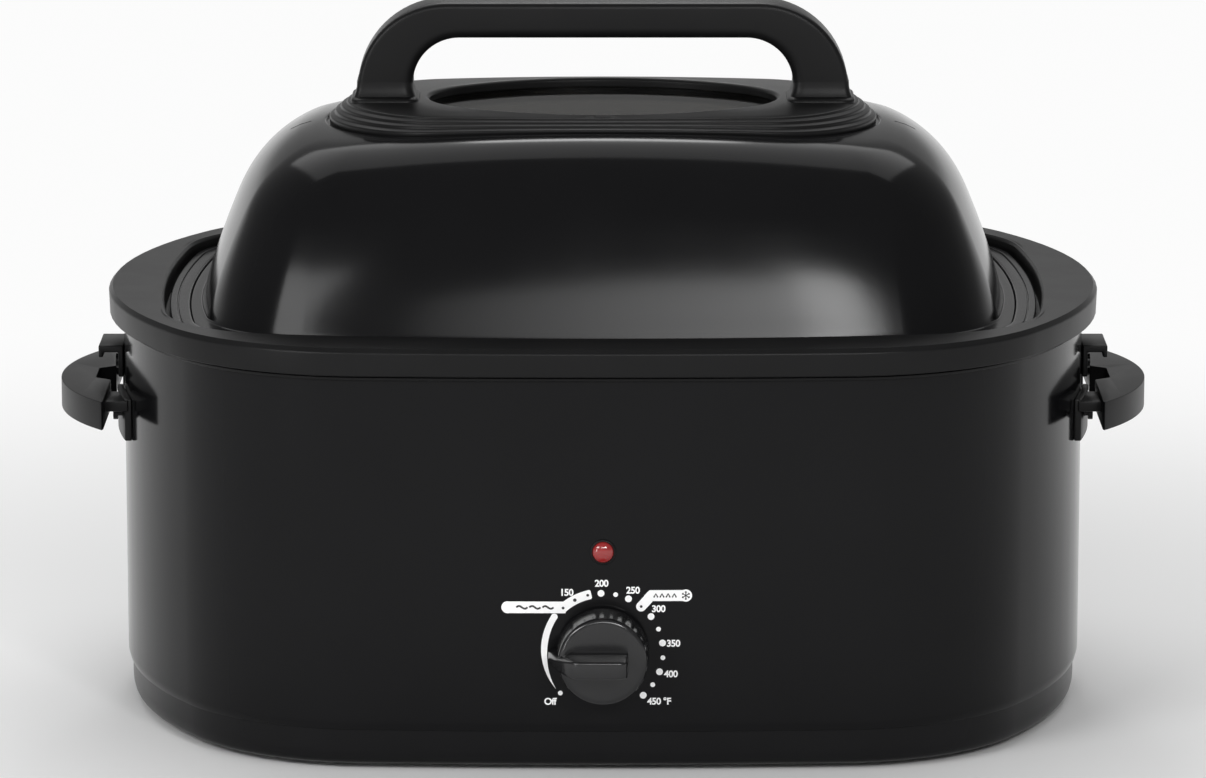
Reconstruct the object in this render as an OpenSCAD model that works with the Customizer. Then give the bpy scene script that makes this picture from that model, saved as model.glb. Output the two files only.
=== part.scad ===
// Electric roaster oven: oval body, lift-out pan and rack, lift-off domed lid.
// Millimetres. X runs along the body, the control knob faces -Y, Z is up, feet stand on Z = 0.
// Pieces are drawn about the middle of the body, and placed() then sets them in the part's frame.

/* [Body] */
// Length of the body wall, end to end
body_l = 538; // [500:2:640]
// Depth of the body wall, front to back
body_w = 408; // [380:2:480]
// Corner radius of the body wall
body_corner_r = 120.5; // [110:0.5:125]
// How far each end bows out past its corner circles
end_bow = 23; // [16:1:30]
// How far front and back bow out past their corner circles
front_bow = 3.5; // [2:0.5:6]
// Height of the rim's flat top
rim_top_z = 234.5; // [226:0.5:260]
// Sheet thickness of the painted outer shell
shell_t = 1; // [0.8:0.1:1.4]
// Height of the seam between shell and base pan
seam_z = 23.5; // [20:0.5:30]

/* [Rim collar] */
// How far the collar stands out past the wall
rim_overhang = 8.2; // [6:0.2:10]
// Height of the collar's outer band
rim_band_h = 15; // [12:0.5:20]
// Bevel along the collar's top edge
rim_bevel = 3.5; // [2:0.5:4.5]
// Moulded thickness of the collar
rim_t = 1.5; // [1.2:0.1:2]
// Width of the flat top at the ends, from wall to well
rim_flat_w = 24; // [22:1:26]
// Depth of the ledge that carries the well, below the flat top
ledge_drop = 12.5; // [11:0.5:15]

/* [Well and pan] */
// Corner radius of the recess in the collar
well_corner_r = 74; // [70:1:78]
// Sheet thickness of the heat well
well_t = 1; // [0.8:0.1:1.2]
// Height of the well's floor above the ground
well_floor_z = 48; // [42:1:56]
// Thickness of the enamelled pan
pan_t = 1.2; // [1:0.1:1.6]
// Air gap between pan and well
pan_gap = 3; // [2.5:0.5:4]
// Width of the pan's step that carries the lid
pan_step_w = 7; // [6.6:0.2:8]
// Inside radius between the pan's wall and floor
pan_floor_r = 22; // [14:1:30]
// Air gap under the pan's floor
pan_floor_gap = 6; // [4:1:10]
// Wire diameter of the rack
rack_wire_d = 5; // [4:0.5:6]
// Number of cross wires in the rack
rack_wires = 13; // [9:2:17]

/* [Lid] */
// Sheet thickness of the lid
lid_t = 1.2; // [1:0.1:1.5]
// Height of the crown above the lid's bottom edge, at the middle
lid_crown_h = 105.5; // [90:1:120]
// Radius of the crown's gentle doming
crown_r = 1370; // [1100:10:2000]
// Slope of the lid's wall, height gained per millimetre inward
wall_slope = 3.25; // [2.8:0.05:3.8]
// Width of the slope and shoulder, from the foot of the lid's wall to the flat seat
shoulder_w = 66; // [62:1:70]
// Width of a steam vent
vent_w = 2; // [1.5:0.5:3]

/* [Window and lid handle] */
// Border between the window and the surround's edge, at the ends
window_border_l = 46; // [44:1:52]
// Border between the window and the surround's edge, front and back
window_border_w = 21; // [21:1:26]
// Thickness of the glass
glass_t = 4; // [3:0.5:5]
// Height of the window surround above its seat
bezel_h = 13; // [12:0.5:16]
// Distance from the surround's end to the handle's leg
handle_inset = 6; // [3:1:12]
// Width of each handle leg
leg_w = 31; // [26:1:31]
// Thickness of the handle, front to back
lid_handle_d = 30; // [24:1:34]
// Height of the hand gap under the handle's bar
grip_gap = 34; // [30:1:40]
// Height of the handle's bar
grip_bar_h = 20; // [16:1:24]

/* [Control] */
// Height of the knob's axis
knob_z = 68; // [64:1:76]
// Radius of the knob where it meets the body
knob_r = 25; // [22:0.5:27]
// Height of the knob's round skirt
knob_skirt_h = 24; // [20:1:26]
// Height of the knob's grip bar above the body
knob_bar_h = 44; // [38:1:46]
// Reach of the knob's pointer from the axis
pointer_r = 29.3; // [28.5:0.1:30]
// Diameter of the thermostat shaft
shaft_d = 6; // [5:0.5:7]
// Height of the indicator lamp
lamp_z = 123; // [115:1:140]
// Diameter of the indicator lens
lens_d = 10.4; // [9:0.2:12]

/* [Side handles] */
// Height of a side handle's top face
side_handle_z = 180; // [165:1:182]
// Height of a side handle's grip
side_grip_h = 16; // [14:1:20]
// How far a side handle stands out from the wall
side_reach = 36; // [32:1:42]
// Half length of a side handle
side_half_l = 84; // [76:1:90]
// Width of the notch and of the lid rest
rest_w = 36; // [28:2:40]

/* [Feet] */
// How far the feet stand out under the base pan
foot_drop = 3; // [2:0.5:5]
// Diameter of a foot
foot_d = 30; // [24:1:32]

/* [Hidden] */
$fn = 96;
LONG_FN = 240;                      // fineness of long arcs
OVAL_FN = 80;                       // points round an oval, a multiple of 16
SMALL_FN = 32;                      // fineness of screws and wires
FIT = 0.05;                         // radial clearance of a screw or shaft in its hole
GAP = 0.3;                          // clearance between pieces that lift apart
NUDGE = 0.5;                        // overshoot of a cutting shape
// An oval is [half length, half depth, corner radius, end bow, front bow]
WALL = [body_l / 2, body_w / 2, body_corner_r, end_bow, front_bow];
RECESS = [body_l / 2 - rim_flat_w, body_w / 2 - rim_flat_w - 1.5, well_corner_r, 6, 12];
rim_under_z = rim_top_z - rim_t;
ledge_z = rim_top_z - ledge_drop;   // top of the ledge, where the well's flange lies
ledge_w = 9;
well_in = 16;                       // well wall's outside, inward from the recess edge
well_flange_top = ledge_z + well_t;
pan_in = well_in + well_t + pan_gap;
pan_rim_z = rim_top_z - 5;          // top of the pan's rim
pan_step_z = pan_rim_z - 2.6;       // top of the step that carries the lid
pan_rim_out = 3;                    // pan rim's edge, inward from the recess edge
pan_floor_z = well_floor_z + well_t + pan_floor_gap;
base_in = 2.5;                      // base pan's outside, inward from the wall
base_t = 1.2;
base_z = foot_drop;                 // underside of the base pan
heater_t = 2.5;
heater_z = [62, 104];
heater_mid_z = (heater_z[0] + heater_z[1]) / 2;
clamp_gap = 14;
WELL = grow(RECESS, -well_in);
wool_t = 14;
wool_z = [50, 214];
post_x = body_l / 2 - 84;
post_y = body_w / 2 - 99;
post_d = 12;
pocket_h = 6;                       // pocket pressed up over each foot
pocket_d = foot_d + 4;
pocket_top = base_z + pocket_h + base_t;
screw_d = 4;
screw_head_d = 8;
screw_head_h = 2.4;
front_y = -body_w / 2;
back_y = body_w / 2;
end_x = body_l / 2;
tstat_screw_x = 15;
tstat_t = 16;                       // depth of the thermostat's ceramic body
tstat_r = 17;
bracket_t = 1.5;
bracket_y = front_y + shell_t + 0.2;
knob_rest_angle = -90;              // pointer at nine o'clock
knob_gap = 2.2;                     // room for the screw heads behind the knob
lens_bezel_d = lens_d + 4;
lamp_hole_d = 8;
cord_z = seam_z + 22.5;
cord_x = 100;
cord_hole_d = 14;
block_x = cord_x - 10;              // terminal block, just inside the cord's hole
block_y = body_w / 2 - 74;
block_holes = [block_x + 7, block_x + 23];
lid_in = 21;                        // lid wall's outside, inward from the recess edge
lid_z = pan_step_z + GAP;           // underside of the lid's flange
lid_flange_w = 6.2;
LID = grow(RECESS, -lid_in);
seat_sink = 8.9;                    // how far the seat lies under the crown's highest point
seat_z = lid_z + lid_t + lid_crown_h - seat_sink;
seat_step_w = 3;
slope_top = (lid_crown_h - 40.5) / wall_slope;
shoulder_mid = (lid_crown_h - 9.625) / wall_slope;
shoulder_top = shoulder_mid + 12.5;
shoulder = [[slope_top, slope_top * wall_slope], [shoulder_mid, shoulder_mid * wall_slope],
    [shoulder_top, 0.945 * lid_crown_h]];
seat_border_l = 15;                 // flat seat left bare past the surround, at the ends
seat_border_w = 4.5;                // and in front and behind
BEZEL = [LID[0] - shoulder_w - seat_border_l, LID[1] - shoulder_w - seat_border_w, 62, 6, 6];
LID_OPENING = grow(BEZEL, -7.5);
bezel_top_z = seat_z + bezel_h;
window_half_l = BEZEL[0] - window_border_l;
window_half_w = BEZEL[1] - window_border_w;
window_end_r = window_half_w - 16;  // end circles of the window's four-arc oval
window_cx = window_half_l - window_end_r;
window_long_r = (pow(window_cx, 2) + pow(window_half_w, 2) - pow(window_end_r, 2))
    / (2 * (window_half_w - window_end_r));
window_cy = window_long_r - window_half_w;
window_half_angle = atan2(window_cy, window_cx);
vent_out = 11;                      // vent's middle, outward from the seat
gasket_w = 7;
gasket_lip = 1.5;
frame_t = 3;
frame_top_z = seat_z - lid_t;
glass_z = frame_top_z + 5;
glass_edge = 5;                     // how far the glass runs past the clear opening
screw_in = 14.5;                    // frame screws, inward from the surround's long edge
side_screw_x = BEZEL[0] - 79;
frame_screws_at = concat(
    [for (side = [-1, 1]) [side * (BEZEL[0] - 22), 0]],
    [for (x = [-side_screw_x, side_screw_x]) for (side = [-1, 1]) [x, side * (BEZEL[1] - screw_in)]]);
handle_half_w = BEZEL[0] - handle_inset;
grip_under_z = bezel_top_z + grip_gap;
grip_top_z = grip_under_z + grip_bar_h;
grip_outer_r = 50;
grip_inner_r = 26;
side_screw_y = 52;
side_screw_z = side_handle_z - 12;
side_arc_r = (pow(side_reach - 7, 2) + pow(side_half_l, 2)) / (2 * (side_reach - 7));
wall_end_r = end_r(WALL);
screw_wall_x = end_at(side_screw_y);
plate_t = 4;
rest_z = side_handle_z + 19;        // top of the lid rest
rest_reach = 14;
rack_z = pan_floor_z + pan_t + 9;   // axis of the rack's ring
rack_in = pan_in + pan_t + 12;

// Sets the body back, so that the origin is under the middle of the whole
module placed() {
    translate([0, (knob_bar_h - rim_overhang) / 2, 0])
    children();
}

// ---- ovals ----
function grow(o, d) = [o[0] + d, o[1] + d, o[2] + d, o[3], o[4]];
function corner_x(o) = o[0] - o[2] - o[3];
function corner_y(o) = o[1] - o[2] - o[4];
// Radius of the long arc that runs from corner circle to corner circle
function arc_r(across, r, bow) = (pow(across, 2) + pow(r + bow, 2) - pow(r, 2)) / (2 * bow);
function front_r(o) = arc_r(corner_x(o), o[2], o[4]);
function end_r(o) = arc_r(corner_y(o), o[2], o[3]);
function front_half(o) = atan2(corner_x(o), corner_y(o) - (o[1] - front_r(o)));
function end_half(o) = atan2(corner_y(o), corner_x(o) - (o[0] - end_r(o)));

// Points of an oval, anticlockwise from +X
function arc_pts(cx, cy, r, a0, a1, n) =
    [for (i = [0:n - 1]) let (a = a0 + (a1 - a0) * i / n) [cx + r * cos(a), cy + r * sin(a)]];
function quarter_pts(o, n) = let (eh = end_half(o), fh = front_half(o)) concat(
    arc_pts(o[0] - end_r(o), 0, end_r(o), 0, eh, n / 4),
    arc_pts(corner_x(o), corner_y(o), o[2], eh, 90 - fh, n / 2),
    arc_pts(0, o[1] - front_r(o), front_r(o), 90 - fh, 90, n / 4));
function turned(pts, sx, sy) = [for (p = pts) [p[0] * sx, p[1] * sy]];
function backwards(pts, first) = concat([first], [for (i = [len(pts) - 1:-1:1]) pts[i]]);
function whole(q, half_w) = concat(
    q, backwards(turned(q, -1, 1), [0, half_w]), turned(q, -1, -1), backwards(turned(q, 1, -1), [0, -half_w]));
function oval_pts(o) = whole(quarter_pts(o, OVAL_FN / 4), o[1]);
function flat_ring(o, z) = [for (p = oval_pts(o)) [p[0], p[1], z]];

// Skins a list of rings; the last ring joins the first, or both ends are capped
module loft(rings, closed) {
    n = len(rings[0]);
    m = len(rings);
    sides = [for (j = [0:m - (closed ? 1 : 2)]) for (i = [0:n - 1]) for (k = [0, 1])
        let (a = j * n + i, b = j * n + (i + 1) % n, c = ((j + 1) % m) * n + (i + 1) % n, d = ((j + 1) % m) * n + i)
        k == 0 ? [a, c, b] : [a, d, c]];
    caps = closed ? [] : [[for (i = [0:n - 1]) i], [for (i = [n - 1:-1:0]) (m - 1) * n + i]];
    polyhedron(points = [for (r = rings) for (p = r) p], faces = concat(sides, caps));
}

// Sweeps a section round an oval; each point of the section is [outward from the oval, height],
// listed anticlockwise in that plane
module sweep(o, section) {
    loft([for (p = section) flat_ring(grow(o, p[0]), p[1])], true);
}

// A tray: the section starts under its floor, runs up outside and down inside to the floor's top
module tray(o, section) {
    loft([for (p = section) flat_ring(grow(o, p[0]), p[1])], false);
}

// A filled oval plate
module plate(o, z0, z1) {
    translate([0, 0, z0])
    linear_extrude(height = z1 - z0)
    polygon(oval_pts(o));
}

// An upright oval wall between two offsets
module wall(o, d0, d1, z0, z1) {
    translate([0, 0, z0])
    linear_extrude(height = z1 - z0)
    difference() {
        polygon(oval_pts(grow(o, d1)));
        polygon(oval_pts(grow(o, d0)));
    }
}

// The window's four-arc oval, grown outward by d
function window_pts(d) = whole(concat(
    arc_pts(window_cx, 0, window_end_r + d, 0, window_half_angle, OVAL_FN / 8),
    arc_pts(0, -window_cy, window_long_r + d, window_half_angle, 90, OVAL_FN / 8)), window_half_w + d);

module window_oval(d, z0, z1) {
    translate([0, 0, z0])
    linear_extrude(height = z1 - z0)
    polygon(window_pts(d));
}

// ---- small shapes ----
module rod_y(d, y0, y1) {
    translate([0, y0, 0])
    rotate([-90, 0, 0])
    cylinder(d = d, h = y1 - y0, $fn = SMALL_FN);
}

module rod_x(d, x0, x1) {
    translate([x0, 0, 0])
    rotate([0, 90, 0])
    cylinder(d = d, h = x1 - x0, $fn = SMALL_FN);
}

// A straight run of wire between two points
module wire(a, b, d) {
    v = b - a;
    translate(a)
    rotate([0, acos(v[2] / norm(v)), atan2(v[1], v[0])])
    cylinder(d = d, h = norm(v), $fn = SMALL_FN);
}

// A bent wire with rounded corners
module lead(pts, d) {
    for (i = [0:len(pts) - 2]) {
        wire(pts[i], pts[i + 1], d);
    }
    for (i = [1:len(pts) - 2]) {
        translate(pts[i])
        sphere(d = d + 0.3, $fn = SMALL_FN);
    }
}

module at_feet() {
    for (x = [-post_x, post_x]) {
        for (y = [-post_y, post_y]) {
            translate([x, y, 0])
            children();
        }
    }
}

// ---- fixed housing ----
module outer_shell() {
    color([0.035, 0.035, 0.038])
    placed()
    difference() {
        sweep(WALL, [
            [-2.3, seam_z + 0.8], [-2.3, seam_z], [-1.6, seam_z], [-0.6, seam_z + 1], [0, seam_z + 3],
            [0, rim_under_z], [-shell_t, rim_under_z], [-shell_t, seam_z + 3], [-1.8, seam_z + 1]
        ]);
        translate([0, front_y, knob_z])
        rod_y(shaft_d + 4, -10, 10);
        for (x = [-tstat_screw_x, tstat_screw_x]) {
            translate([x, front_y, knob_z])
            rod_y(screw_d + 2 * FIT, -10, 10);
        }
        translate([0, front_y, lamp_z])
        rod_y(lamp_hole_d + 2 * FIT, -10, 10);
        translate([cord_x, back_y, cord_z])
        rod_y(cord_hole_d, -12, 10);
        for (side = [-1, 1]) {
            for (y = [-side_screw_y, side_screw_y]) {
                translate([side * end_x, y, side_screw_z])
                rod_x(screw_d + 2 * FIT, -20, 20);
            }
            translate([side * end_x, 0, rest_z - 12])
            rod_x(screw_d + 2 * FIT, -20, 20);
        }
    }
}

module rim_collar() {
    color([0.05, 0.05, 0.052])
    placed()
    union() {
        difference() {
            sweep(WALL, [
                [-60, rim_under_z], [rim_overhang - rim_bevel - 0.4, rim_under_z],
                [rim_overhang - rim_t, rim_top_z - rim_bevel - 0.4],
                [rim_overhang - rim_t, rim_top_z - rim_band_h], [rim_overhang, rim_top_z - rim_band_h],
                [rim_overhang, rim_top_z - rim_bevel], [rim_overhang - 1, rim_top_z - 1],
                [rim_overhang - rim_bevel, rim_top_z], [-60, rim_top_z]
            ]);
            plate(grow(RECESS, rim_t / 2), rim_under_z - 1, rim_top_z + 1);
        }
        sweep(RECESS, [
            [0, ledge_z], [-ledge_w, ledge_z], [-ledge_w, ledge_z - rim_t], [rim_t, ledge_z - rim_t],
            [rim_t, rim_top_z], [0, rim_top_z]
        ]);
    }
}

module base_pan() {
    base = grow(WALL, -base_in);
    color([0.03, 0.03, 0.032])
    placed()
    difference() {
        union() {
            difference() {
                tray(base, [
                    [-6, base_z], [-2.4, base_z + 0.9], [-0.7, base_z + 3], [0, base_z + 6],
                    [0, seam_z + 1.5], [1.3, seam_z + 4.5], [1.3, seam_z + 12], [0.3, seam_z + 12],
                    [0.3, seam_z + 5], [-base_t, seam_z + 2], [-base_t, base_z + 6.2],
                    [-3.2, base_z + 1.9], [-6, base_z + base_t]
                ]);
                at_feet()
                translate([0, 0, base_z - NUDGE])
                cylinder(d = pocket_d, h = base_t + 2 * NUDGE);
            }
            at_feet()
            difference() {
                translate([0, 0, base_z])
                cylinder(d = pocket_d + 2 * base_t, h = pocket_h + base_t);
                translate([0, 0, base_z - NUDGE])
                cylinder(d = pocket_d, h = pocket_h + NUDGE);
            }
        }
        at_feet()
        cylinder(d = screw_d + 2 * FIT, h = pocket_top + NUDGE);
    }
}

module heat_well() {
    color([0.6, 0.6, 0.58])
    placed()
    tray(WELL, [
        [-12, well_floor_z], [-4, well_floor_z + 3.5], [0, well_floor_z + 12], [0, ledge_z],
        [well_in - 0.5, ledge_z], [well_in - 0.5, well_flange_top], [-well_t, well_flange_top],
        [-well_t, well_floor_z + 12], [-4.5, well_floor_z + 4.5], [-12, well_floor_z + well_t]
    ]);
}

module insulation_wrap() {
    color([0.85, 0.8, 0.62])
    placed()
    wall(WELL, heater_t, heater_t + wool_t, wool_z[0], wool_z[1]);
}

module heating_band() {
    color([0.45, 0.42, 0.38])
    placed()
    difference() {
        wall(WELL, 0, heater_t, heater_z[0], heater_z[1]);
        translate([0, WELL[1], heater_mid_z])
        cube([clamp_gap, 30, 60], center = true);
    }
}

module band_clamp() {
    lug_w = 2;
    color([0.5, 0.5, 0.5])
    placed()
    union() {
        for (side = [-1, 1]) {
            translate([side * (clamp_gap - lug_w) / 2, WELL[1] + heater_t / 2, heater_mid_z])
            cube([lug_w, heater_t - 0.2, 24], center = true);
        }
        translate([0, WELL[1] + heater_t / 2, heater_mid_z])
        rod_x(1.8, 1 - clamp_gap / 2, clamp_gap / 2 - 1);
    }
}

module thermostat_body() {
    inner_y = bracket_y + bracket_t;
    color([0.8, 0.76, 0.68])
    placed()
    difference() {
        union() {
            translate([0, inner_y, knob_z])
            rotate([-90, 0, 0])
            cylinder(r = tstat_r, h = tstat_t);
            for (x = [-10, 10]) {
                translate([x - 3, inner_y + tstat_t / 2, knob_z - tstat_r - 7])
                cube([6, 1, 14]);
            }
        }
        translate([0, inner_y - NUDGE, knob_z])
        rod_y(shaft_d + 2 * FIT, 0, 9);
        for (x = [-tstat_screw_x, tstat_screw_x]) {
            translate([x, inner_y - NUDGE, knob_z])
            rod_y(screw_d + 2 * FIT, 0, 7);
        }
    }
}

module thermostat_bracket() {
    color([0.55, 0.55, 0.55])
    placed()
    difference() {
        translate([-26, bracket_y, knob_z - 14])
        cube([52, bracket_t, 28]);
        translate([0, bracket_y - NUDGE, knob_z])
        rod_y(shaft_d + 4, 0, 4);
        for (x = [-tstat_screw_x, tstat_screw_x]) {
            translate([x, bracket_y - NUDGE, knob_z])
            rod_y(screw_d + 2 * FIT, 0, 4);
        }
    }
}

module thermostat_screws() {
    color([0.7, 0.7, 0.7])
    placed()
    for (x = [-tstat_screw_x, tstat_screw_x]) {
        translate([x, front_y, knob_z]) {
            rod_y(screw_d, -0.5, 8);
            rod_y(7, -1.8, 0);
        }
    }
}

module sensor_bulb() {
    bulb_d = 7;
    bulb_z = well_floor_z - bulb_d / 2;
    start_y = bracket_y + bracket_t + tstat_t;
    color([0.72, 0.45, 0.3])
    placed()
    union() {
        translate([0, 0, bulb_z])
        rod_y(bulb_d, -130, -60);
        lead([[0, start_y, knob_z - 12], [0, start_y + 4, knob_z - 12], [0, start_y + 4, bulb_z],
              [0, -125, bulb_z]], 2.4);
    }
}

module indicator_lens() {
    color([0.5, 0.04, 0.04])
    placed()
    union() {
        translate([0, front_y, lamp_z])
        rotate([90, 0, 0])
        rotate_extrude()
        polygon(concat(
            [[0, 0], [lens_bezel_d / 2, 0], [lens_bezel_d / 2, 0.8], [lens_d / 2, 0.8]],
            [for (a = [15:15:90]) [lens_d / 2 * cos(a), 0.8 + 3.2 * sin(a)]]));
        translate([0, front_y, lamp_z])
        rod_y(lamp_hole_d, 0, 12);
    }
}

module lamp_holder() {
    color([0.75, 0.75, 0.72])
    placed()
    difference() {
        translate([0, front_y + shell_t + 0.1, lamp_z])
        rod_y(14, 0, 18);
        translate([0, front_y, lamp_z])
        rod_y(lamp_hole_d + 2 * FIT, 0, 12 + FIT);
    }
}

module terminal_block() {
    color([0.85, 0.85, 0.8])
    placed()
    difference() {
        translate([block_x, block_y, base_z + base_t])
        cube([30, 24, 16]);
        for (x = block_holes) {
            translate([x, block_y, base_z + base_t + 9])
            rod_y(4, -2, 8);
        }
    }
}

module wiring_leads() {
    lead_d = 3;
    low = base_z + base_t + 9;
    tab_y = bracket_y + bracket_t + tstat_t / 2 + 0.5;
    lamp_y = tab_y + 4;
    end_y = block_y + 8;
    color([0.7, 0.68, 0.6])
    placed()
    union() {
        lead([[block_holes[0], end_y, low], [block_holes[0], tab_y, low], [-10, tab_y, low],
              [-10, tab_y, knob_z - tstat_r - 7]], lead_d);
        lead([[block_holes[1], end_y, low], [block_holes[1], lamp_y, low], [block_holes[1], lamp_y, low + 6],
              [26, lamp_y, low + 6], [26, lamp_y, lamp_z], [7, lamp_y, lamp_z]], lead_d);
    }
}

module cord_bush() {
    color([0.03, 0.03, 0.03])
    placed()
    difference() {
        union() {
            translate([cord_x, bush_y(), cord_z])
            rod_y(cord_hole_d - 2 * FIT, -2, 2);
            translate([cord_x, bush_y(), cord_z])
            rod_y(cord_hole_d + 6, 0.6, 4);
            translate([cord_x, bush_y(), cord_z])
            rod_y(cord_hole_d + 5, -5, -1.6);
        }
        translate([cord_x, bush_y(), cord_z])
        rod_y(7.2, -6, 6);
    }
}

// Place of the back wall's outside behind the cord bush
function bush_y() = WALL[1] - front_r(WALL) + sqrt(pow(front_r(WALL), 2) - pow(cord_x, 2));

module tie_posts() {
    color([0.65, 0.65, 0.65])
    placed()
    at_feet()
    difference() {
        translate([0, 0, pocket_top])
        cylinder(d = post_d, h = well_floor_z - pocket_top, $fn = SMALL_FN);
        translate([0, 0, pocket_top - NUDGE])
        cylinder(d = screw_d + 2 * FIT, h = 20, $fn = SMALL_FN);
    }
}

module rubber_feet() {
    color([0.02, 0.02, 0.02])
    placed()
    at_feet()
    difference() {
        cylinder(d1 = foot_d - 3, d2 = foot_d, h = base_z + pocket_h);
        translate([0, 0, -NUDGE])
        cylinder(d = screw_head_d + 1, h = 4 + NUDGE);
        cylinder(d = screw_d + 2 * FIT, h = 20);
    }
}

module base_screws() {
    color([0.6, 0.6, 0.6])
    placed()
    at_feet() {
        translate([0, 0, 4 - screw_head_h])
        cylinder(d = screw_head_d, h = screw_head_h, $fn = SMALL_FN);
        translate([0, 0, 3.5])
        cylinder(d = screw_d, h = 24, $fn = SMALL_FN);
    }
}

// ---- side handles ----
// A curved pad on the right-hand end of the wall, between two heights
module end_pad(t, z0, z1, half_w) {
    intersection() {
        translate([end_x - wall_end_r, 0, z0])
        cylinder(r = wall_end_r + t, h = z1 - z0, $fn = LONG_FN);
        translate([end_x - 30, -half_w, z0])
        cube([60, 2 * half_w, z1 - z0]);
    }
}

// The round end of the wall, taken away from what seats on it
module end_cut(z0, z1) {
    translate([end_x - wall_end_r, 0, z0])
    cylinder(r = wall_end_r + FIT, h = z1 - z0, $fn = LONG_FN);
}

// D-shaped outline of the grip, drawn in at its lower edge
module grip_slab(inset, z0, z1) {
    intersection() {
        translate([end_x + side_reach - side_arc_r, 0, z0])
        cylinder(r = side_arc_r - inset, h = z1 - z0, $fn = LONG_FN);
        translate([end_x + 7, -side_half_l, z0])
        cube([side_reach, 2 * side_half_l, z1 - z0]);
    }
}

module side_handle() {
    grip_z = side_handle_z - side_grip_h;
    difference() {
        union() {
            difference() {
                union() {
                    grip_slab(1, side_handle_z - 1.5, side_handle_z);
                    grip_slab(0, grip_z + 5, side_handle_z - 1.5);
                    grip_slab(2, grip_z + 2, grip_z + 5);
                    grip_slab(5, grip_z, grip_z + 2);
                }
                difference() {
                    grip_slab(9, grip_z - NUDGE, side_handle_z - 4);
                    translate([end_x + 6, -side_half_l, grip_z - 1])
                    cube([4, 2 * side_half_l, side_grip_h]);
                }
            }
            end_pad(plate_t, side_handle_z - 26, side_handle_z - 2, side_screw_y + 12);
            for (y = [-side_screw_y, side_screw_y]) {
                translate([end_x - 8, y - 14, side_handle_z - 8])
                cube([17, 28, 5]);
            }
        }
        translate([end_x - 20, -rest_w / 2, side_handle_z - 40])
        cube([35, rest_w, 50]);
        for (y = [-side_screw_y, side_screw_y]) {
            translate([end_x, y, side_screw_z])
            rod_x(screw_d + 2 * FIT, -20, 7);
        }
        end_cut(side_handle_z - 40, side_handle_z + 5);
    }
}

module side_handle_right() {
    color([0.06, 0.06, 0.06])
    placed()
    side_handle();
}

module side_handle_left() {
    color([0.06, 0.06, 0.06])
    placed()
    mirror([1, 0, 0])
    side_handle();
}

module lid_rest() {
    difference() {
        union() {
            translate([end_x - 2, -rest_w / 2, rest_z - 4])
            cube([rest_reach + 2, rest_w, 4]);
            translate([end_x + rest_reach - 2.5, -rest_w / 2, rest_z - 6])
            cube([2.5, rest_w, 4]);
            end_pad(3, rest_z - 18, rest_z, rest_w / 2);
        }
        end_cut(rest_z - 40, rest_z + 5);
        translate([end_x, 0, rest_z - 12])
        rod_x(screw_d + 2 * FIT, -20, 20);
    }
}

module lid_rest_right() {
    color([0.06, 0.06, 0.06])
    placed()
    lid_rest();
}

module lid_rest_left() {
    color([0.06, 0.06, 0.06])
    placed()
    mirror([1, 0, 0])
    lid_rest();
}

// Wall's outside at the side screws
function end_at(y) = end_x - wall_end_r + sqrt(pow(wall_end_r, 2) - pow(y, 2));
module handle_screws() {
    color([0.6, 0.6, 0.6])
    placed()
    for (side = [0, 1]) {
        mirror([side, 0, 0]) {
            for (y = [-side_screw_y, side_screw_y]) {
                translate([screw_wall_x, y, side_screw_z]) {
                    rod_x(screw_d, -10, plate_t + 4);
                    rod_x(screw_head_d, plate_t + 2, plate_t + 4.4);
                }
            }
            translate([end_x, 0, rest_z - 12]) {
                rod_x(screw_d, -8, 4);
                rod_x(screw_head_d, 3, 5.4);
            }
        }
    }
}

module handle_nuts() {
    color([0.6, 0.6, 0.6])
    placed()
    for (side = [0, 1]) {
        mirror([side, 0, 0]) {
            for (y = [-side_screw_y, side_screw_y]) {
                translate([screw_wall_x - shell_t - 5.5, y, side_screw_z])
                hex_nut();
            }
            translate([end_x - shell_t - 3.4, 0, rest_z - 12])
            hex_nut();
        }
    }
}

module hex_nut() {
    rotate([0, 90, 0])
    difference() {
        cylinder(d = 8, h = 3.2, $fn = 6);
        translate([0, 0, -NUDGE])
        cylinder(d = screw_d + 2 * FIT, h = 4.2, $fn = SMALL_FN);
    }
}

// ---- control knob, drawn with its axis along Z and its pointer towards +Y ----
module on_dial(angle) {
    translate([0, front_y, knob_z])
    rotate([90, 0, 0])
    rotate([0, 0, -angle])
    children();
}

module control_knob() {
    color([0.03, 0.03, 0.03])
    placed()
    on_dial(knob_rest_angle)
    difference() {
        union() {
            translate([0, 0, knob_gap])
            rotate_extrude()
            polygon([
                [0, 0], [knob_r, 0], [knob_r, 3], [knob_r - 1.2, knob_skirt_h - knob_gap - 1.2],
                [knob_r - 2.4, knob_skirt_h - knob_gap], [0, knob_skirt_h - knob_gap]
            ]);
            intersection() {
                translate([5.5, 0, 0])
                rotate([0, -90, 0])
                linear_extrude(height = 11)
                polygon([
                    [knob_gap, -12], [knob_gap, pointer_r], [knob_skirt_h - 2, pointer_r],
                    [knob_bar_h - 8, 22], [knob_bar_h - 2, 17.5], [knob_bar_h, 14.5], [knob_bar_h, -8.5],
                    [knob_bar_h - 1.5, -11.5], [knob_bar_h - 5, -13], [knob_gap, -13.4]
                ]);
                linear_extrude(height = knob_bar_h + 1)
                polygon([
                    [-4.8, -14], [4.8, -14], [4.8, 16], [1.6, pointer_r - 0.6], [0, pointer_r],
                    [-1.6, pointer_r - 0.6], [-4.8, 16]
                ]);
            }
        }
        translate([0, 0, -1])
        difference() {
            cylinder(r = knob_r - 3.2, h = knob_skirt_h - 4);
            cylinder(r = shaft_d / 2 + 3, h = knob_skirt_h);
        }
        translate([0, 0, -1])
        cylinder(d = shaft_d + 2 * FIT, h = 21);
    }
}

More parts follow.
